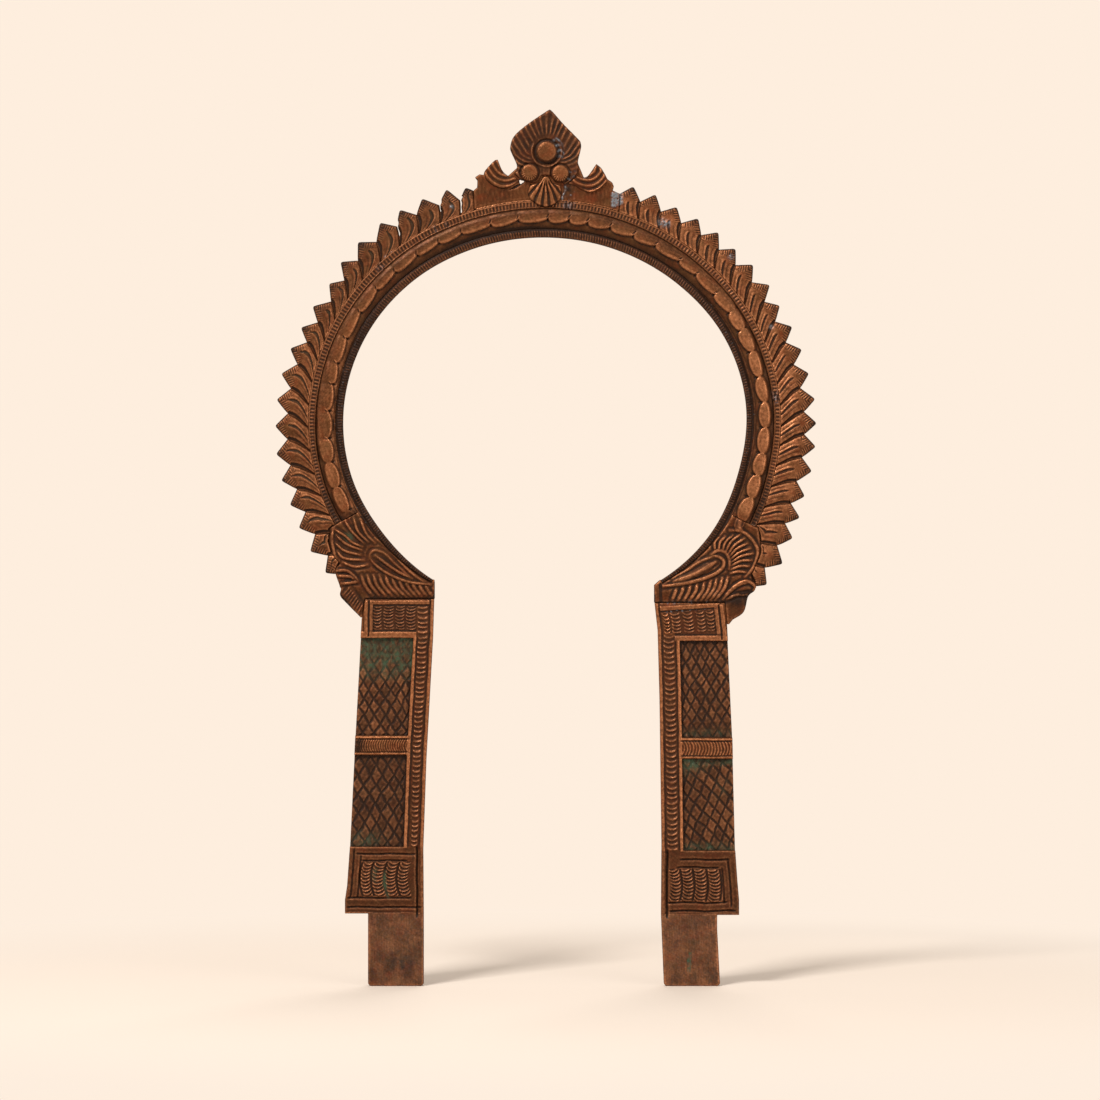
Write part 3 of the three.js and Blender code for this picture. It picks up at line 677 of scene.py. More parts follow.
def band_relief(turn, reach, noise):
    low, high = line_at("band", turn), line_at("leaf", turn)
    phase = ticks_at(turn, *BAND_TICKS) + 0.1 * ripple(turn, 0 * turn, 9, 8)
    ticks = wave(phase, 1.2) * window(reach, low + 0.85, high - 0.7, 0.35)
    ticks = ticks * (0.75 + 0.3 * ripple(turn, reach, 3, 17))
    height = 0.42 * bell((reach - low - 0.45) / 0.26) + 0.4 * bell((reach - high + 0.4) / 0.26)
    height += 0.78 + 0.4 * ticks + 0.04 * noise(4, 9)
    blobs = ((5.6, 1.3, 1), (78.9, 1.3, 0.9), (-44, 0.9, 0.5), (-28, 0.5, 0.5), (-25, 0.4, 0.5))
    solder = sum(amount * bell(turn, place, size) for place, size, amount in blobs)
    rough = noise(1.6, 10)
    grey = unit(solder * (0.15 + 0.85 * rough))
    height += 0.35 * grey - 0.2 * solder * unit(-rough)
    worn = 0.1 + 0.1 * smooth_step((turn - 30) / 30)
    deep = 0.22 + 0.45 * unit((abs(turn) - 96) / 9) + 0.9 * solder * unit(0.5 - rough)
    deep = deep + 0.06 * smooth_step((-turn - 10) / 30)
    return height, {"worn": worn, "deep": deep, "grey": 0.8 * grey, "reach": 0.6, "gain": 4.2}


def rim_width(turn):
    ring, rim = (where(turn < 0, *ends) for ends in (RING_END, RIM_END))
    return RIM_WIDTH + (RIM_TAIL - RIM_WIDTH) * unit((turn - ring) / (rim - ring))


def rim_relief(turn, reach, noise):
    edge = minimum(line_at("rim", turn), rim_width(turn))
    place = reach / edge
    ticks = wave(ticks_at(turn, *RIM_TICKS) + 0.25 * place, 1.2)
    ticks = ticks * window(place, 0.12, 0.8, 0.2) * (0.7 + 0.35 * ripple(turn, reach, 4, 18))
    beyond = smooth_step((reach - edge + 0.1) / 0.4) * (abs(turn) < RIM_CLOSED)
    height = (0.45 + 0.48 * ticks) * (1 - beyond) + wall_height(turn, reach)[1] * beyond
    # line: a groove along the outer edge of the rim, painted dark below as shade in it
    line = bell((reach - edge - 0.1) / (0.4 + 0.3 * window(turn, -34, 2, 12)))
    height = soften(height - 0.3 * line, reach, 0.7, 0.45) + 0.05 * noise(2.4, 12)
    sides = unit((abs(turn + 3) - 40) / 14)
    blot = unit(0.5 + 0.6 * noise(7, 16))
    specks = unit(noise(1.4, 13) - 0.8) * sides
    sides = sides * where(turn > 0, 0.7, 1)
    # shadow is a painted shadow at the top left, left adds painted light on the left end
    shadow, left = painted_shadow_and_light(turn, reach)
    # The rim is dark all over, darker at the sides with blots: partly tarnish, partly painted shade
    # of its recess.
    deep = 0.5 + 0.4 * sides * (0.6 + 0.5 * blot) - 0.1 * unit((abs(turn) - RIM_CLOSED) / 10)
    # Painted shade in the groove, and on the wall beyond towards the rim, with less of it at the
    # left end.
    deep = (deep + 0.9 * line) * (1 - beyond) + 0.6 * shadow
    deep = deep + beyond * (0.42 * (1 - 0.75 * left) + 0.4 * line)
    # The left end of the wall gets painted light.
    worn = 0.1 * (1 - sides) * blot + 0.35 * left * beyond
    return height, {"worn": worn, "deep": deep, "grey": 0.6 * specks, "reach": 0.5, "gain": 3.6}


def plate_relief(turn, reach, noise):
    return -0.05 + 0.06 * noise(3, 14), {"deep": 0.8}


def seat_at(turn):
    """Where the leaves start under the band."""
    return minimum(ROOT, line_at("leaf", turn) - 0.4)


def add_ring():
    band, leaf = partial(line_at, "band"), partial(line_at, "leaf")
    wall_foot = lambda turn: BEAD_FOOT + 0 * turn
    under_rim = lambda turn: rim_width(turn) - 0.05
    add_strip("arch_bead_moulding", RING_END, wall_foot, band, bead_relief, 0.15)
    add_strip("arch_milled_band", RING_END, band, leaf, band_relief, 0.1)
    add_strip("arch_inner_rim", RIM_END, lambda turn: 0 * turn, rim_width, rim_relief)
    add_strip("arch_back_plate", RING_END, under_rim, seat_at, plate_relief, step=2 * STEP)


# Leaves
LEAF_GROW = 0.28  # how far a leaf is grown to close the joints beside it
NOTCH_ROUND = 0.5  # rounding of the free edges


def leaf_sides(loop):
    """The two sides of a leaf from its tip to its root, as rows of reach and turn."""
    turn, reach = arch_place(loop[:, 0], loop[:, 1])
    tip = int(np.argmax(reach))
    sides = []
    for way in (1, -1):
        side = [(reach[tip], turn[tip])]
        i = tip
        while True:
            i = (i + way) % len(loop)
            if reach[i] >= side[-1][0] - 0.05:
                break
            side.append((reach[i], turn[i]))
        sides.append(np.array(side))
    return sorted(sides, key=lambda side: side[1][1])


# Slits that show light: leaf, from reach, to reach and width
OPEN_SEAMS = {
    "leaf_left_20": (15.9, 22.5, 0.5), "leaf_left_19": (19.4, 23.5, 0.42),
    "leaf_left_17": (18.6, 24, 0.42),
}
GREY_SPOTS = [  # x, z and size
    (48.6, 320.4, 1.5), (50.8, 319.8, 1.3), (77.7, 305.9, 1), (94.6, 276.5, 0.9),
    (-66.8, 305.5, 0.9), (-39.5, 327, 0.7), (-64.4, 307.6, 0.6),
]


def solder_at(x, z):
    """Dull grey solder: how much of it shows at each point."""
    total = 1.6 * window(x, 27.6, 32.2, 0.8) * window(z - 0.35 * (x - 30), 327.4, 333.6, 0.8)
    for spot_x, spot_z, size in GREY_SPOTS:
        total = total + bell(hypot(x - spot_x, z - spot_z) / size)
    return unit(total * (0.8 + 0.6 * ripple(x, z, 1.7, 21)))


def add_leaf(node, number):
    left, right = "left" in node, "right" in node
    raw = outline_of(node)
    sides = leaf_sides(raw)
    turn, reach = arch_place(*raw.T)
    reach = where(reach < ROOT + 0.6, seat_at(turn) + 0.1, reach)
    loop = smooth_line(stack(arch_point(turn, reach), axis=1), 34, closed=True)
    x, z, noise, depth, inside = blank(loop, LEAF_GROW)
    turn, reach = arch_place(x, z)
    blade = line_at("leaf", turn)
    low, high = (np.interp(reach, *side[::-1].T) for side in sides)
    wide = maximum(high - low, 0.3)
    span = np.radians(wide) * (MEAN_RADIUS + reach) / 2
    v = (1 if left else -1) * (2 * (turn - low) / wide - 1)
    tip = sides[0][0, 0]
    notch = (sides[0][1, 0] + sides[1][1, 0]) / 2
    if node in OPEN_SEAMS:
        start, end, slit = OPEN_SEAMS[node]
        gap = (1 + v) * span - slit * (1 + 0.5 * noise(3, 20))
        depth = minimum(depth, where((reach > start) & (reach < end), gap, 9))
    rounding = max(1, int(round(NOTCH_ROUND / STEP)))
    depth = where(reach > notch + 0.8, blurred(depth, rounding), depth)

    pick = np.random.default_rng(100 + number).uniform
    size = clip(span / 5, 0.3, 1)
    p = v * span + 0.2 * ripple(reach, 0 * reach, 9, 200 + number) + size * pick(-0.4, 0.4)
    dome = unit(1 - abs(v) ** 2.4) ** 0.6
    length = unit((reach - blade) / (tip - blade))
    height = 0.1 + (0.74 - 0.28 * smooth_step((length - 0.45) / 0.5)) * dome
    t = unit((reach - blade) / (notch - blade))
    # the comma: a long arc on the left leaves, an oval on the right ones
    if right:
        centre = size * (0.2 + 0.5 * sin(np.pi * t))
        around = unit(1 - ((t - 0.38) / pick(0.4, 0.5)) ** 2)
    else:
        centre = size * (0.8 + 1.1 * sin(np.pi * t) - 2.6 * (1 - t) ** 4)
        around = unit(1 - ((t - 0.5) / pick(0.48, 0.6)) ** 2) * (reach < notch + 1)
    width = pick(0.65, 0.9) * size * sqrt(around)
    lean = p - centre
    comma = smooth_step((width - abs(lean)) / 0.5 + 0.3) * (around > 0)
    lip = bell(lean, 0.7 * width, 0.38) * sqrt(around)
    # shine: a bright line along the upper side of the comma, raised a little and painted as a
    # highlight
    shine = bell((lean - width - 0.5) / 0.34) * sqrt(around)
    height += 0.14 * shine - pick(0.24, 0.36) * comma - 0.14 * lip
    vein = bell((lean + pick(2.1, 2.6) * size) / 0.32) * window(t, -1, pick(0.6, 0.85))
    vein = vein + 0.7 * bell(lean, pick(1.9, 2.3) * size, 0.3) * window(t, -1, 0.6)
    height -= 0.17 * vein
    # comb marks across the free edges
    _, place = along_line(x, z, np.concatenate([loop, loop[:1]]), 12)
    around_length = np.sum(hypot(*(np.roll(loop, -1, axis=0) - loop).T))
    fringe = window(depth, 0.15, pick(2.2, 3), 1) * unit((reach - notch + 1.6) / 1.6)
    uneven = 0.7 + 0.45 * noise(3.5, 400 + number)
    comb = wave((place * around_length + 0.25 * depth) / pick(0.92, 1.05), 0.9)
    height += (0.42 if right else 0.32) * fringe * uneven * (comb - 0.55)
    # the groove along the lower side, darkened as a painted shadow where the leaves overlap, and
    # the thin joint along the upper one
    free = smooth_step((notch + 0.5 - reach) / 0.9)
    bulge = 4 * t * (1 - t) * size
    wide = (0.15 + 0.75 * t) * size + (0.75 if right else 1) * bulge
    away = (1 + v) * span
    shadowed_channel = smooth_step((wide - away) / 0.55 + 0.5) * free * (0.7 + 0.3 * t)
    shadowed_channel = shadowed_channel * smooth_step((away - 0.3 * bulge) / 0.5 + 0.75)
    joint = bell((1 - v) * span / 0.4) * free
    height = soften(height, depth, 0.9, 0.55) - 0.5 * shadowed_channel - 0.15 * joint
    height += 0.045 * noise(2.3, 300 + number) + 0.02 * noise(1, 600 + number)
    height = where(reach < blade - 0.1, minimum(height, -0.05), height)
    grey = solder_at(x, z)
    height += 0.3 * grey
    # tipwards darkens the tips: painted shade where they bend away from the light
    tipwards = smooth_step((reach - tip + 4.6) / 5)
    bright = (0.26 if right else 0.1) + pick(-0.08, 0.12)
    patchy = unit(0.7 + 0.5 * noise(5, 700 + number))
    # Wear on the domes, a painted highlight above the comma and a painted highlight on the upper
    # part of each leaf.
    worn = bright * (1 - tipwards) * dome * patchy * (1 - comma) + (0.3 if right else 0.15) * shine
    worn += 0.3 * bell(v, 0.6, 0.28) * bell(t, 0.6, 0.35) * (patchy - 0.2)
    upper = window(turn, -60, -10, 12)
    # Painted shade: the tips, the shadowed groove and the free edges of the tips are darker.
    deep = 0.84 * tipwards * patchy + 0.9 * shadowed_channel + 0.5 * joint + 0.1 * upper
    deep += 0.24 * comma + 0.4 * lip + 0.15 * vein + 0.42 * fringe * (1 - comb) + 0.04
    deep += 0.35 * bell(depth / 0.5) * (1 - free)
    add(node, x, z, depth, height, inside, worn=worn, deep=deep, green=0.12 * comma * left,
        grey=grey, reach=0.7, gain=3.4 - 1.3 * upper)


# Crest
CREST_BACK, BOSS_BACK = -1, -2.2  # their backs lie in front of the ground plane
CREST_FACE, BOSS_FACE = 2.1, 3.4  # and these are their fronts
HOLE = (-10.35, 9.75)  # the small hole under the left boss
BOSSES = {"centre": (0.3, 22.3, 4.1), "left": (-6.9, 13.4, 3.5), "right": (6, 13.1, 3.5)}


def add_crest():
    node = "crest_ground"
    x, z, noise, _, inside = blank_of(node, 34)
    local = z - CREST_Z
    turn, reach = arch_place(x, z)
    blade = line_at("leaf", turn)

    def hole(a, b, edge=1):
        return hypot((a - HOLE[0]) / 0.95, (b - CREST_Z - HOLE[1]) / 0.8) - edge

    def ground_inside(a, b):
        ragged = 1 + 0.25 * sin(3 * np.arctan2(b - CREST_Z - HOLE[1], a - HOLE[0]) + 1)
        return minimum(inside(a, b) + 0.2, 0.85 * hole(a, b, ragged))

    depth = ground_inside(x, z)
    height = 1.26 + 0.05 * ripple(x, z * 0.3, 1.2, 30) + 0.05 * ripple(x, z * 0.35, 2.1, 31)
    height = soften(height + 0.04 * noise(4, 34), depth, 0.7, 0.55)
    slit = abs((local - 7.6) - 0.45 * (x + 12.6)) / 0.45 + abs(x + 12.6) / 2.2 - 1
    slit = maximum(slit, 0)
    height -= 0.5 * bell(slit / 0.35) + 0.3 * bell((reach - blade - 0.4) / 0.4)
    crack = bell((x - 7.6 - 0.25 * (local - 5) - 0.3 * sin(local * 1.3)) / 0.34)
    crack = crack * window(local, 1, 12.5, 1)
    crumbs = bell(x, 9.3, 2) * bell(local, 3.4, 2.8) * unit(noise(1.5, 32) - 0.5)
    grey = unit(0.9 * crack * (0.6 + 0.7 * noise(2, 38)) + 0.9 * crumbs + solder_at(x, z))
    height = where(reach < blade, -0.05, height + 0.3 * grey)
    dirt = bell(x, 9.6, 1.9) * bell(local, 7.5, 5) * (0.8 + 0.5 * noise(2.4, 39))
    deep = 0.9 * bell(slit / 0.5) + 0.75 * dirt + 0.3 * bell(crack, 0.3, 0.3) * (crack > 0.02)
    deep = deep + 0.7 * bell(maximum(hole(x, z), 0) / 0.6) + 0.08
    add(node, x, z, depth, height, ground_inside, worn=0.03, deep=deep, grey=grey, gain=2.6)

    node = "crest_palmette"
    x, z, noise, depth, inside = blank_of(node, 50)
    local = z - CREST_Z
    far, angle = polar(x - BOSSES["centre"][0], z - (CREST_Z + BOSSES["centre"][1]))
    spread = abs(angle) / 60
    curved = angle + np.sign(angle) * 2.7 * (far - 9) * minimum(spread ** 2, 2.2)
    flutes = wave(curved / (11.5 + 3.5 * unit(spread - 0.6)) + 0.14 * noise(14, 41), 1.35)
    strong = clip(0.75 + 0.35 * noise(9, 42), 0.3, 1.1)
    fan = window(far, 7.4, 40, 1.8) * unit((132 - abs(angle)) / 14) * strong
    height = 2.2 + 0.3 * unit((far - 4) / 12) + 0.5 * fan * (flutes - 0.35)
    ring = bell(far, 6.3, 0.4) * unit((abs(angle - 10) - 60) / 25)
    height += 0.5 * ring - 0.45 * bell(far, 4.9, 0.55)
    stem = window(abs(x - 0.2), -9, 1.6, 0.6) * window(local - 13.6, -3.5, 3.6, 1)
    height += 0.35 * stem
    for side in ("left", "right"):
        boss_x, boss_z, _ = BOSSES[side]
        height -= 0.45 * bell(hypot(x - boss_x, local - boss_z), 3.9, 0.5)
    height = soften(height, depth, 0.9, 0.85) + 0.06 * noise(3, 35) + 0.03 * noise(1.1, 43)
    right = unit((angle - 20) / 15) * unit((125 - angle) / 15)
    rough = noise(1.6, 36)
    groove = (bell(far, 5.2, 0.8) + 0.8 * bell(far, 6.9, 0.5)) * right
    grey = unit(groove * (0.2 + 0.9 * rough))
    height += 0.2 * grey
    lower = bell(hypot((x - 10.5) / 2.6, (local - 11.5) / 2.2)) * (0.7 + 0.5 * rough)
    grey = unit(grey + 0.6 * lower * (rough > 0.35))
    deep = 0.4 * fan * (1 - flutes) ** 2 + 0.5 * bell(far, 4.9, 0.5) + 0.45 * groove + 0.7 * lower
    deep = deep + 0.17 + 0.2 * unit(noise(8, 44))
    worn = 0.1 * fan * flutes
    add(node, x, z, depth, height, inside, CREST_BACK, worn=worn, deep=deep, grey=grey, gain=2.1)

    for side, centre_x, centre_z, dark in (("left", -16.6, 18.4, 0.3), ("right", 17.4, 16.2, 0.45)):
        node = "crest_volute_" + side
        x, z, noise, depth, inside = blank_of(node, 50)
        far = hypot(x - centre_x, (z - CREST_Z - centre_z) * 0.95)
        phase = (far - 5.7) / 2.25 + 0.1 * noise(7, 45)
        height = CREST_FACE + 0.62 * (wave(phase, 1.1) - 0.3)
        height = soften(height, depth, 0.6, 0.7) + 0.06 * noise(2.5, 37)
        deep = dark * (1 - wave(phase, 0.7)) ** 2 + 0.06
        worn = 0.1 * wave(phase, 2)
        add(node, x, z, depth, height, inside, CREST_BACK, worn=worn, deep=deep, gain=2.2)

    node = "crest_shell"
    x, z, noise, depth, inside = blank_of(node, 60)
    far, angle = polar(x + 0.1, CREST_Z + 12.4 - z)
    phase = np.sign(angle) * (abs(angle) / 15) ** 0.92 + 0.05 * noise(6, 46)
    petals = 1 - wave(phase + 0.5, 1.8)
    height = CREST_FACE + 0.7 * window(far, 2.8, 30, 2.5) * (petals - 0.4)
    height = soften(height, depth, 0.8, 0.9) + 0.04 * noise(2, 47)
    deep = 0.7 * (1 - petals) ** 1.5 * window(far, 3, 30, 2) + 0.25 * bell(depth / 0.5)
    add(node, x, z, depth, height, inside, CREST_BACK, worn=0.1 * petals, deep=deep, gain=2.4)

    for name, (boss_x, boss_z, radius) in BOSSES.items():
        middle = np.array([boss_x, CREST_Z + boss_z])
        step = STEP * 0.7
        x, z = grid_over(np.array([middle - radius, middle + radius]), step)
        noise = partial(ripple, x, z)
        inside = lambda a, b: radius - hypot(a - middle[0], b - middle[1])
        far, angle = polar(x - middle[0], z - middle[1])
        height = BOSS_FACE + 0.7 * sqrt(unit(1 - (far / radius) ** 4.5))
        if name != "centre":
            low = unit(((middle[1] - z) / radius + 0.15) * 1.6)
            ticks = wave(angle * 20 / 360 + 0.06 * noise(3, 48), 1)
            height += 0.42 * low * window(far, radius * 0.6, radius, 0.6) * (ticks - 0.6)
        height += 0.06 * noise(2.6, 40 + len(name)) + 0.03 * noise(1, 50 + len(name))
        depth = inside(x, z)
        add("crest_boss_" + name, x, z, depth, height, inside, BOSS_BACK, step=step, worn=0.1,
            deep=0.35 * bell(depth / 0.4), gain=2.4)


# Shoulders, drawn with lines from the photo: x and z of each point in turn
LEFT_LINES = {
    "ribs": [[-77.8, 195.5, -75.3, 189.6, -71.8, 186.1],
        [-80.6, 195.9, -78.8, 190.6, -74.6, 186.4], [-84.4, 195.2, -81.3, 190.6, -76.4, 185.7],
        [-89, 191.7, -84.4, 188.9, -81.3, 186.1, -77.1, 184.3],
        [-87.9, 188.9, -83.7, 185.4, -77.4, 182.9], [-88.3, 185.7, -84.4, 182.6, -77.8, 180.8],
        [-87.6, 182.2, -84.4, 179.4, -76.4, 178.7], [-85.1, 177.7, -80.2, 175.9, -75, 176.6]],
    "rim": [[-89.3, 191.7, -89.8, 187.1, -89, 182.9, -88.3, 179.4],
        [-86.2, 196.6, -83.7, 198, -80.9, 198.5],
        [-71.5, 187.8, -66.9, 184.7, -62.7, 180.1, -57.8, 174.5, -50.8, 168.9],
        [-73.9, 193.8, -70.4, 188.9, -65.2, 183.6, -60.3, 177.7]],
    "thin": [[-73.9, 179.1, -73.9, 181.2, -72.2, 182.6, -69.7, 182.4, -66.9, 180.8, -62.7, 176.6,
        -56.4, 171]],
    "loop": [[-73.9, 179.4, -71.8, 177, -67.6, 173.8, -62, 171, -56.4, 169.3, -48.7, 168.4],
        [-71.5, 180.5, -69, 178.7, -66.2, 176.6, -62, 173.8, -57.1, 171.4]],
    "feathers": between([-77.4, 172.1, -76, 168.2, -72.9, 164],
        [-67.3, 172.1, -65.9, 168.2, -62, 164], 5) +
        between([-64.6, 171, -62.6, 167, -58.8, 163.5], [-50.5, 167.9, -49.4, 165.8, -48, 164], 6),
    "scroll": [[-88.3, 174.2, -84.1, 174.3, -81.3, 172.8, -78.8, 170],
        [-87.6, 172.1, -82.3, 171.7, -79.9, 170.3], [-85.5, 168.7, -81.3, 169.3, -78.8, 169.6]],
    "drop": between([-82.3, 167.2, -84.9, 164.2], [-77.1, 159.8, -78.8, 156.7], 8),
    "cuts": [[-84.6, 170, -82.8, 170.4, -81.4, 170.2]],
}
RIGHT_LINES = {
    "ribs": between([71, 182.7, 70.8, 185.9, 72, 187.9], [75.6, 182.3, 77.6, 186.3, 81.6, 189.5],
        4) + between([76.6, 181.2, 79, 184.8, 83.4, 187.8], [78, 177.9, 82, 180.3, 86.8, 181.5], 4)
        + between([77.9, 176.3, 81.8, 178.3, 86.4, 178.6], [77.6, 173.1, 80.8, 173.9, 84, 173.5],
        3),
    "rim": [[77.2, 191.1, 82, 190.7, 85.6, 188.3, 88, 185.1, 88.8, 181.5, 87.2, 175.9, 83.6,
        171.5], [69.2, 180.7, 72, 182.7, 75.2, 181.9, 77, 178.7, 77, 175.1]],
    "loop": [[69.7, 180.4, 72.6, 180, 74.6, 178.3, 74.1, 175.5, 71, 172.9, 64.7, 170.4, 56.8,
        168.7, 49.2, 167.7]],
    "thin": [[70.4, 180.3, 64.7, 178, 58.4, 173.9, 53, 171.4]],
    "body": [[53.7, 169.6, 60, 171.8, 66.3, 174.9, 71.2, 177.8]],
    "neck": [[83.4, 199.5, 82, 196, 81, 192.6, 82.4, 190.6]],
    "feathers": between([53, 161.9, 54, 164.3, 54.8, 166.7],
        [62.8, 161.9, 65.6, 165.5, 66.4, 169.1], 5) + between([65.2, 162, 68, 165.8, 69.3, 170],
        [71.2, 162.1, 74.8, 166.7, 76.4, 171.5], 4) +
        [[74.4, 162.3, 77.6, 165.9, 81.6, 168.7, 85.6, 169.5]],
    "scroll": [[76.8, 165.5, 80, 168.3, 84, 169.9, 87.6, 167.9, 87.6, 165.9],
        [76, 162.3, 79.6, 163.9, 84, 164.3, 85.6, 163.9]],
    "drop": [],
    "cuts": [[81.2, 164.6, 84.8, 165.6, 87, 165.4], [48, 169.1, 48.3, 160.3]],
}
LINE_SIZES = {  # half width and rise
    "ribs": (0.66, 0.66), "rim": (0.9, 0.5), "loop": (1.05, 0.72), "feathers": (1.02, 0.55),
    "scroll": (0.85, 0.75), "drop": (0.42, 0.34), "cuts": (0.8, -0.8), "body": (1.75, 0.85),
    "neck": (2.2, 1.15), "thin": (0.6, 0.34),
}


SHOULDER_FACE = 1.3
# How strong each thing shows on a shoulder. The darkening of the drop, the part beside the top of
# the leg and the hollows is painted shade; the brightening of the ridges is wear with a painted
# highlight.
SHOULDERS = {
    "left": {"worn": 0.16, "tone": 0.08, "drop": 0.15, "under": 0.2, "shaded_hollow": 0.34, "gain": 2.3},
    "right": {"worn": 0.4, "tone": 0.06, "drop": 0.3, "under": 0.55, "shaded_hollow": 0.46, "gain": 3},
}


def add_shoulder(side):
    node = "shoulder_" + side
    left, look = side == "left", SHOULDERS[side]
    x, z, noise, _, inside = blank_of(node, 48)

    def shoulder_inside(a, b):
        """The outline, grown where a neighbour closes the joint."""
        turn, reach = arch_place(a, b)
        joint = maximum((b < 164) & (abs(a) < 78), reach < 6)
        joint = maximum(joint, (abs(turn) < 114) & (reach < 17))
        joint = maximum(joint, 2.4 * window(b, 167, 176, 0.5) * (abs(a) > 80))
        return inside(a, b) + 0.12 + 0.16 * joint

    depth = shoulder_inside(x, z)
    swell = 0.16 * noise(11, 56)
    height, drawn, crest, cuts = SHOULDER_FACE + swell, 9 + 0 * x, 0 * x, 0 * x
    for number, (kind, (width, rise)) in enumerate(LINE_SIZES.items()):
        if left and kind in ("loop", "rim"):
            width = 0.75
        for line in (LEFT_LINES if left else RIGHT_LINES).get(kind, []):
            distance, place = along_line(x, z, line)
            end = minimum(place, 1 - place)
            if rise > 0:
                thin = clip(end / 0.22 + 0.3, 0.3, 1)
                ridge = rounded(distance / (width * thin)) * thin
                ridge = ridge * (1 + 0.22 * noise(6, 80 + number))
                height = maximum(height, 1.22 + swell + rise * ridge)
                drawn = minimum(drawn, distance)
                crest = maximum(crest, bell(distance / (0.55 * width)) * thin)
            else:
                thin = clip(end / 0.15 + 0.25, 0.25, 1)
                cut = rounded(distance / (width * thin)) * thin
                height = height + rise * cut
                cuts = maximum(cuts, cut)
    # A hollow beside each drawn ridge, sunk and painted with shade.
    shaded_hollow = bell(drawn, 1.2, 0.65)
    height = soften(height - 0.26 * shaded_hollow, depth, 0.8, 0.75) + 0.025 * noise(1.1, 57)
    height += 0.07 * noise(3.4, 50 + len(side))
    seam = bell(depth, 0.1, 0.6) * window(z, 159.5, 164.3, 1)
    grey = unit(1.6 * seam * (noise(1.9, 53) - 0.35)) * window(x, 52, 72, 4)
    green = left * 0.7 * bell(hypot(x + 82.6, z - 188.2) / 2) * (drawn > 0.6)
    # Painted shadow on the pendant drop beside the leg, and painted shade low on the shoulder
    # beside the top of the leg.
    drop = window(z, 140, 166.5, 3) * smooth_step((abs(x) - 75.5) / 2.5)
    under = bell(z, 161.8, 2.6) * smooth_step((abs(x) - 76.5) / 2)
    deep = look["tone"] + look["drop"] * drop * (0.8 + 0.4 * noise(4, 55)) + look["under"] * under
    deep = deep + look["shaded_hollow"] * shaded_hollow + 0.9 * seam + 0.22 * unit(noise(9, 58)) + 0.8 * cuts
    # The ridge tops get wear and a painted highlight.
    add(node, x, z, depth, height, shoulder_inside, worn=look["worn"] * crest, deep=deep,
        green=green, grey=grey, gain=look["gain"])


LEG_FACE, TENON_FACE = 1.62, 1.85
LEG_GROW = 0.08  # closes the joints beside the leg
BASE_PITCH = 1.43
# Legs. Measures as in the CAD, then the ornament: s runs outward from the inner edge, q
# inward from the outer edge. The shades: strip, capital, base and all over.
LEGS = {
    "left": Leg(
        inner=[(162.3, 47), (146, 47.5), (95, 50.3), (57.5, 51.6), (0, 51.4)],
        outer=[(162.3, 75.8), (154, 77.3), (104.4, 80), (57.5, 82.3), (42, 83.4), (36, 84.3),
               (0, 84.3)],
        spine=8.1, window=(58.3, 146), cross=(96.8, 105), foot=30.4,
        strip=((2.4, 6.4), (2.6, 4.9)), sag=0.35, pitch=2.08, strip_top=159.3,
        columns=[(7.1, 11.1), (11.7, 15.5), (16.3, 20.6), (21.3, 25)], column_pitch=1.36,
        column_span=(149.4, 159.4), tilt=0, cap=(146.4, 148.6, 160, 161.7),
        ridges=((25.3, 26.7), (27.4, 28.9)), arc=1, shades=(0.27, 0.45, 0.34, 0.03),
        base=[(5, 9.3), (10.2, 14.5), (15.4, 20), (20.9, 24.8)], bow=1.5,
        base_span=(37.6, 52), cut=2.6, cut_foot=29,
        level_cuts=[(55.3, 3.4, 28), (52.5, 7, 25.7), (36.9, 5.3, 31.6), (33, 1, 31.8)],
        upright_cuts=[(1.9, 36.8, 57.2), (4.9, 37, 54.8)],
    ),
    "right": Leg(
        inner=[(160.7, 45.7), (149, 47), (120, 47.8), (60, 48.6), (29.8, 48.4), (0, 49.6)],
        outer=[(160.7, 75), (151, 76), (104.1, 78.2), (57, 79.4), (44, 80.3), (36, 81),
               (0, 81)],
        spine=9, window=(56.7, 144.8), cross=(95.2, 104.1), foot=29.8,
        strip=((2.4, 6.6), (2.6, 6.6)), sag=0.6, pitch=2.18, strip_top=146.9,
        columns=[(2.5, 5.1), (5.9, 9.8), (11, 15.1), (16.5, 20.1), (20.6, 24.1)],
        column_pitch=1.5, column_span=(148.4, 157.2), tilt=0.06,
        cap=(145.1, 147, 158, 159.9), ridges=((24.6, 26.3), (27, 28.6)), arc=1.3,
        shades=(0.22, 0.34, 0.38, 0.07),
        base=[(2.9, 7.2), (7.9, 12.4), (13.3, 18), (19.2, 23.8)], bow=1.1,
        base_span=(35.5, 49), cut=2.3, cut_foot=28.6,
        level_cuts=[(52.9, 7.7, 28), (49.6, 6.5, 23.8), (34.9, 2.6, 27.5), (31.4, 3.3, 31)],
        upright_cuts=[(3.1, 33, 53), (6, 34.8, 49.4)],
    ),
}


def edge_at(edge, z):
    heights, places = np.array(edge)[::-1].T
    return np.interp(z, heights, places)


def smiles(s, z, low, high, foot, top, pitch, bow=0, sag=1, fan=0):
    """A column of punched crescents: ridges that hang like smiles, and the column's area."""
    v = (z - (top + foot) / 2) / ((top - foot) / 2)
    away = s - bow * (1 - v ** 2) - (low + high) / 2
    u = away / ((high - low) / 2)
    lean = -fan * v * away
    stagger = 0.12 * ripple(s * 0.4, z, 5, 90)
    phase = (z + lean + sag * (1 - clip(u * u, 0, 1.5))) / pitch + stagger
    area = window(abs(u), -9, 0.98, 0.3) * window(z, foot, top, 0.4)
    part = phase - np.floor(phase)
    ridge = where(part < 0.32, smooth_step(part / 0.32), smooth_step((1 - part) / 0.68) ** 1.3)
    strength = 0.95 + 0.25 * ripple(s, z, 4.5, 91)
    return ridge * area * strength, area


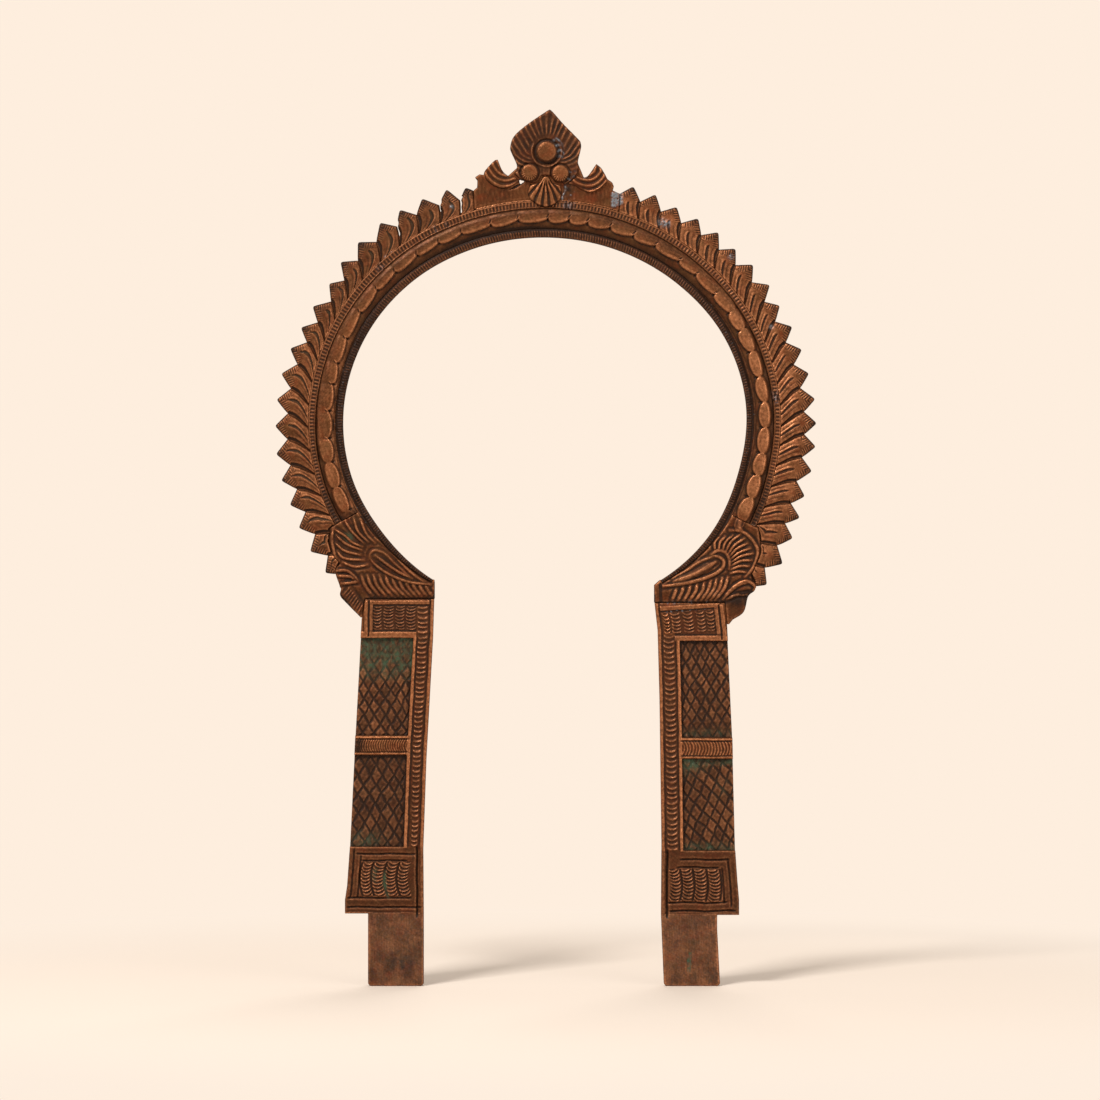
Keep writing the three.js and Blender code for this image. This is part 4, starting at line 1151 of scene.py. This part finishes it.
def add_leg(side):
    leg, left = LEGS[side], side == "left"
    node = "leg_frame_" + side
    loop = outline_of(node, front=True)
    x, z, _, depth, _ = blank(loop, LEG_GROW)
    wobble = 0.14 * ripple(x * 0.3, z, 16, 60) + 0.07 * ripple(x * 0.4, z, 5, 59)
    s = abs(x) - edge_at(leg.inner, z) + wobble
    q = edge_at(leg.outer, z) - abs(x) + wobble
    true_z = z
    z = z + 0.12 * ripple(x, z * 0.3, 13, 69)
    noise = partial(ripple, x, z)
    window_foot, window_top = leg.window
    cross_foot, cross_top = leg.cross
    foot, spine = leg.foot, leg.spine
    strip_shine, cap_shade, base_shade, tone = leg.shades
    height, worn, deep = where(z < foot + 0.4, TENON_FACE, LEG_FACE), 0 * x, 0 * x

    # shine brightens the paint: painted highlights on the ridges and punched marks
    def shine(amount):
        nonlocal worn
        worn = maximum(worn, amount)

    def field(amount, shade=1):
        nonlocal deep
        deep = maximum(deep, shade * amount)

    # A raised ridge, painted with a highlight along it.
    def ridge(amount, glow):
        nonlocal height
        height = maximum(height, LEG_FACE - 0.12 + 0.5 * amount)
        shine(glow * amount)

    # A groove, painted darker: tarnish and painted shade in it.
    def cut(amount, depth, dark):
        nonlocal height
        height = height - depth * amount
        field(amount, dark)

    # Punched marks: the area sinks, the marks rise and get wear and a painted highlight.
    def punch(marks, area, sink, rise, glow):
        nonlocal height
        height = height - sink * area + rise * marks
        shine(glow * marks)

    # strip beside the windows
    share = unit((z - window_foot) / (window_top - window_foot))
    upper, lower = leg.strip
    low, high = (b + share * (a - b) for a, b in zip(upper, lower))
    strip_top = leg.strip_top
    marks = smiles(s, z, low, high, window_foot + 0.2, strip_top, leg.pitch, 0, leg.sag)
    punch(*marks, 0.35, 0.72, strip_shine)
    field(window(s, 1.4, spine - 1.3, 0.5) * window(z, window_foot, strip_top), 0.34)
    cut(bell(s, 1.75, 0.38) * window(z, window_foot - 1, 170), 0.45, 0.5)
    cut(bell((s - spine + 1.65) / 0.4) * window(z, window_foot, window_top + 0.4), 0.35, 0.5)
    ridge(window(s, -0.5, 1.3, 0.35) * window(z, foot, 200, 0.6), 0.1)
    long = window(z, window_foot - 0.5, window_top + 0.6)
    ridge(window(s, spine - 1.25, spine + 0.4, 0.35) * long, 0.36)
    # capital
    zc = z - leg.tilt * (s - 14)
    bottom, bottom_top, top_foot, top = leg.cap
    (first, first_end), (second, _) = leg.ridges
    inside_cap = (z > bottom) & (s > 6.9)
    height = where(inside_cap, LEG_FACE - 0.1, height)
    field(inside_cap * window(s, 6.9, first) * window(zc, bottom_top, top_foot), cap_shade)
    for a, b in leg.columns:
        marks = smiles(s, zc, a, b, *leg.column_span, leg.column_pitch, 0.45, 0.75)
        punch(*marks, 0.16, 0.6, 0.14)
        cut(bell(s - b, 0.57, 0.4) * window(zc, *leg.column_span), 0.3, 0.35)
    wide = window(s, spine - 1.1 if left else 6.9, 40, 0.4)
    ridge(window(z, bottom - 0.5, bottom_top, 0.4) * wide, 0.3)
    ridge(window(zc, top_foot, top, 0.4) * window(s, 1.8, 27.2, 0.4), 0.18)
    cut(bell((zc - top_foot + 0.35) / 0.36) * window(s, 2, 25.5), 0.5, 0.7)
    cut(bell((z - bottom_top - 0.4) / 0.4) * window(s, 7.2, 27), 0.55, 0.7)
    for a, b in leg.ridges:
        ridge(window(s, a, b, 0.35) * window(z, bottom, top), 0.18)
    cut(bell(s, (first_end + second) / 2, 0.32) * window(z, bottom, top), 0.5, 0.6)
    # cross band
    middle = (cross_foot + cross_top) / 2
    half = (cross_top - cross_foot) / 2 - 1.5
    v = (z - middle + 0.15) / half
    arcs = wave((s - 0.9 * (1 - unit(v * v))) / leg.arc + 0.12 * ripple(s, z, 5, 92), 1.1)
    band = window(abs(v), -9, 1, 0.15) * window(s, spine, spine + 21, 0.4)
    punch(arcs * band, band, 0.2, 0.42, 0.16)
    outside = window(s, spine - 0.4, 60) * window(z, cross_foot - 1, cross_top + 1)
    ridge(outside * bell((abs(z - middle) - half - 0.75) / 0.5), 0.22)
    cut(outside * bell(abs(v), 1.06, 0.09), 0.3, 0.7)
    if left:
        field(outside * bell(q, 1, 2.6) * window(abs(v), -9, 1), 0.85)
    # base block
    base_span = leg.base_span

    def bow(centre):
        return leg.bow * (1 - ((z - centre) / 7.2) ** 2)

    for a, b in leg.base:
        marks = smiles(s, z, a, b, *base_span, BASE_PITCH, leg.bow, 0.9, 0.32)
        punch(*marks, 0.22, 0.58, 0.12)
        field(marks[1], 0.36)
        cut(bell(s, b + 0.4 + bow(sum(base_span) / 2), 0.5) * window(z, *base_span), 0.5, 0.8)
    for level, a, b in leg.level_cuts:
        line = level + 0.16 * ripple(s, 0 * s, 9, 61)
        cut(bell(z, line, 0.4) * window(s, a, b, 1.2), 0.65, 0.75)
    for away, a, b in leg.upright_cuts:
        cut(bell(q, away, 0.4) * window(z, a, b, 1.2), 0.55, 0.6)
    cut(bell(s, leg.cut, 0.45) * window(z, leg.cut_foot, window_foot, 1.5), 0.85, 0.85)
    field(window(z, foot, window_foot, 1), base_shade)
    # tenon
    tenon = window(z, -5, foot, 1)
    scratch = ripple(x, z * 0.1, 0.9, 63) + 0.5 * ripple(x, z * 0.15, 0.5, 62)
    scratch = clip(scratch, -1.2, 1.2) * tenon
    height += 0.035 * scratch + 0.04 * tenon * noise(6, 93)
    deep = deep + tenon * unit(0.12 * scratch + 0.22 * ripple(x, z * 0.5, 7, 94))
    worn = worn + tenon * unit(0.13 - 0.16 * scratch + 0.14 * ripple(x, z * 0.4, 5, 95))
    green, grey = 0.1 * tenon, 0.06 * tenon
    if left:
        patch = bell(hypot((x + 59.5) / 6.5, (z - 9.8) / 4.5)) * (0.7 + 0.5 * noise(3, 64))
        field(unit(0.7 * patch))
        groove = bell(s, 14.9 + bow(44.8), 0.75) * window(z, 37.5, 47.5, 3)
        groove = groove + 0.6 * bell(s, 19 + bow(44.8), 0.9) * window(z, 43.5, 49, 2)
        green = maximum(green, 1.1 * groove)
    else:
        mark = abs(x - 60.2 - 0.1 * (z - 10)) / (0.8 + 0.35 * noise(2, 65)) < 1
        green = maximum(green, 0.9 * mark * window(z, 5.6, 14.2, 0.8))
        field(bell(z, 109, 2.6) * bell(s, 3.4, 1.6), 0.6)
        for line, width, end, amount, seed, less in (
            (top + 1.2, 0.6, 72, 1.4, 53, 0.2), (top_foot - 0.4, 0.4, 66, 1.2, 54, 0.3),
        ):
            seam = bell(zc, line, width) * window(x, 50, end, 4)
            grey = grey + clip(amount * seam * (noise(1.7, seed) - less), 0, 0.8)
    nick = unit(noise(5, 96) - 0.75) * bell(depth / 0.7)
    height = soften(height, depth, 0.6, 0.6) - 0.6 * nick
    height += 0.05 * noise(3, 66) + 0.03 * noise(1.1, 67)
    worn = worn + tone + 0.07 * noise(18, 68)
    deep = deep + 0.6 * bell((z - leg.inner[0][0] - 0.1) / 0.5)
    sheet = outline_of("lattice_panel_" + side)
    step = [outset(sheet, 0.3), outset(sheet, 0.36)]
    back = lambda a, b: where(inside_distance(a, b, sheet) > -0.33, -0.1, BACK)
    inside = partial(inside_distance, loop=loop)
    add(node, x, true_z, depth, height, inside, back, step, worn=worn, deep=deep, green=green,
        grey=grey, gain=3)
    add_lattice(side, sheet)


def outset(loop, distance):
    """An outline moved outward."""
    unit_of = lambda v: v / np.linalg.norm(v, axis=1)[:, None]
    after = unit_of(np.roll(loop, -1, axis=0) - loop)
    along = unit_of(after + unit_of(loop - np.roll(loop, 1, axis=0)))
    (x, z), (next_x, next_z) = loop.T, np.roll(loop, -1, axis=0).T
    way = np.sign(np.sum(x * next_z - next_x * z))
    outward = along[:, ::-1] * [1, -1] / maximum(0.5, np.sum(along * after, axis=1))[:, None]
    return loop + way * distance * outward


SHEET_FACE = 0.28
# Lattices: the angle and spacing of two families of grooves, for the upper and lower window
LATTICES = {
    "left": (((57.6, 3.8), (122.4, 3.8)), ((58.5, 4.2), (121.5, 4.2))),
    "right": (((61, 3.6), (122.5, 3.7)), ((67, 4), (135, 4.1))),
}


def add_lattice(side, sheet):
    leg, left = LEGS[side], side == "left"
    x, z, noise, depth, inside = blank(sheet)
    upper = z > sum(leg.cross) / 2
    wx = x + 0.5 * noise(17, 70) + 0.22 * noise(5, 71)
    wz = z + 0.4 * noise(15, 72)
    tone, groove = 0 * x, 0 * x
    for part, families in zip((upper, ~upper), LATTICES[side]):
        for number, (angle, spacing) in enumerate(families):
            direction = math.radians(angle)
            phase = (-wx * math.sin(direction) + wz * math.cos(direction)) / spacing
            line = np.round(phase)
            wide = 0.52 + 0.08 * sin(line * 5.1 + number) + 0.1 * noise(5, 76 + number)
            strong = 0.92 + 0.12 * sin(line * 3.7 + 2 * number) + 0.16 * noise(8, 78)
            mark = bell(abs(phase - line) * spacing / wide) * strong
            groove = where(part, maximum(groove, mark), groove)
            tone = where(part, tone + sin(np.floor(phase) * 12.9898 + angle) * 43.7, tone)
    tone = tone - np.floor(tone)
    s = abs(x) - edge_at(leg.inner, z)
    (foot, top), (cross_foot, cross_top) = leg.window, leg.cross
    low, high = where(upper, cross_top, foot), where(upper, top, cross_foot)
    # inner: painted shadow cast by the frame, along the spine and strongest under the top of each
    # window
    inner = bell(s - leg.spine) + 1.1 * bell(z, high, 1.2) + 0.5 * bell(z, low, 1)
    if left:
        green = 0.85 * window(z, 131, 150, 9) + 0.6 * bell(z, 61, 3.5) * bell((x + 76) / 7)
        flat_out = window(z, 136, 150, 7) + 0.35 * bell(z, 92, 3)
    else:
        stain = bell(x, 59, 6)
        green = 1.1 * bell(z, 93, 3.6) * stain + 0.65 * bell(z, 94, 1.6) + 0.7 * bell(z, 58, 1.8)
        green = green + 0.35 * bell(z, 106, 1.7) + 0.3 * bell(hypot(x - 74, z - 83) / 3)
        flat_out = 0.6 * bell(z, 93, 3) * stain + 0.7 * bell(z, 108, 3)
    green = unit(green * (0.72 + 0.45 * noise(4.5, 74)))
    flat_out = unit(flat_out)
    height = SHEET_FACE + 0.12 * tone - 0.42 * groove * (1 - 0.65 * flat_out)
    height += 0.07 * noise(2.1, 73) + 0.14 * green * clip(ripple(x, z * 0.5, 1.3, 75), -1, 1)
    height = soften(height, depth, 0.5, 0.4)
    top = 1 - unit(groove * 1.3)
    deep = 0.08 + 0.2 * (1 - tone) + 0.8 * unit(inner) + 0.5 * (1 - top) * (1 - 0.5 * flat_out)
    deep = deep + 0.2 * unit(noise(11, 79)) + left * 0.12 * window(z, 50, 97)
    grey = 0.45 * unit(ripple(x, z * 0.4, 1.1, 97) - 0.8) * green
    worn = 0.22 * top * tone * (1 - flat_out)
    add("lattice_panel_" + side, x, z, depth, height, inside, worn=worn, deep=deep, green=green,
        grey=grey, gain=2.8)


# The stage, in metres. The floor glows in the colour of the world beyond the part.
FLOOR_HALF, FLOOR_DROP, FLOOR_FADE = 3, 0.0001, (0.16, 0.42)
LIGHTS = {  # place, size and watts
    "key": ((-0.6, -1.1, 1.4), 0.4, 26),
    "fill": ((1, -1.5, 0.4), 0.9, 7),
    "back": ((0.2, 1.2, 0.9), 0.8, 8),
}
AIM = (0, 0, 0.2)
CAMERA_PLACE = (0.0017, -2, 0.1829)
CAMERA_WIDTH = 0.462  # what the picture shows at the part


def make_floor():
    half = FLOOR_HALF
    mesh = bpy.data.meshes.new("floor")
    corners = [(-half, -half, 0), (half, -half, 0), (half, half, 0), (-half, half, 0)]
    mesh.from_pydata(corners, [], [(0, 1, 2, 3)])
    material, tree, lit = new_material("floor_cream")
    colour = tuple(0.8 * c for c in CREAM[:3]) + (1,)
    feed(tree, lit, {"Base Color": colour, "Roughness": 1, "Specular IOR Level": 0})
    glow = new_node(tree, "Emission", {"Color": CREAM, "Strength": 1})
    place = new_node(tree, "TexCoord").outputs["Object"]
    far = new_node(tree, "VectorMath", {0: place}, operation="LENGTH")
    ends = {"Value": far, "From Min": FLOOR_FADE[0], "From Max": FLOOR_FADE[1]}
    fade = new_node(tree, "MapRange", ends, interpolation_type="SMOOTHSTEP")
    mix = new_node(tree, "MixShader", {"Fac": fade, 1: lit, 2: glow})
    feed(tree, tree.nodes["Material Output"], {"Surface": mix})
    mesh.materials.append(material)
    floor = show("floor", mesh)
    floor.location.z = -FLOOR_DROP


def make_world():
    world = bpy.data.worlds.new("studio")
    bpy.context.scene.world = world
    world.use_nodes = True
    tree = world.node_tree
    light = tree.nodes["Background"]
    feed(tree, light, {"Color": (1, 0.93, 0.86, 1), "Strength": 0.5})
    seen = new_node(tree, "Background", {"Color": CREAM, "Strength": 1})
    rays = new_node(tree, "LightPath").outputs
    shown = rays["Is Camera Ray"]
    for ray in ("Is Glossy Ray", "Is Transmission Ray"):
        shown = new_node(tree, "Math", {0: shown, 1: rays[ray]}, operation="MAXIMUM")
    mix = new_node(tree, "MixShader", {"Fac": shown, 1: light, 2: seen})
    feed(tree, tree.nodes["World Output"], {"Surface": mix})


def area_light(name, place, size, power):
    lamp = bpy.data.lights.new(name, "AREA")
    lamp.size = size
    lamp.energy = power
    holder = show(name, lamp)
    holder.location = place
    holder.rotation_euler = (Vector(AIM) - Vector(place)).to_track_quat("-Z", "Y").to_euler()


def make_camera():
    camera = bpy.data.cameras.new("camera")
    camera.sensor_width = 36
    camera.lens = camera.sensor_width * -CAMERA_PLACE[1] / CAMERA_WIDTH
    holder = show("camera", camera)
    holder.location = CAMERA_PLACE
    holder.rotation_euler = (math.pi / 2, 0, 0)
    bpy.context.scene.camera = holder


add_ring()
leaves = sorted(node for node in frame["nodes"] if node.startswith("leaf_"))
for number, node in enumerate(leaves):
    add_leaf(node, number)
add_crest()
for side in ("left", "right"):
    add_shoulder(side)
    add_leg(side)
make_floor()
make_world()
for name, light in LIGHTS.items():
    area_light(name, *light)
make_camera()
bpy.context.scene.view_settings.view_transform = "Standard"
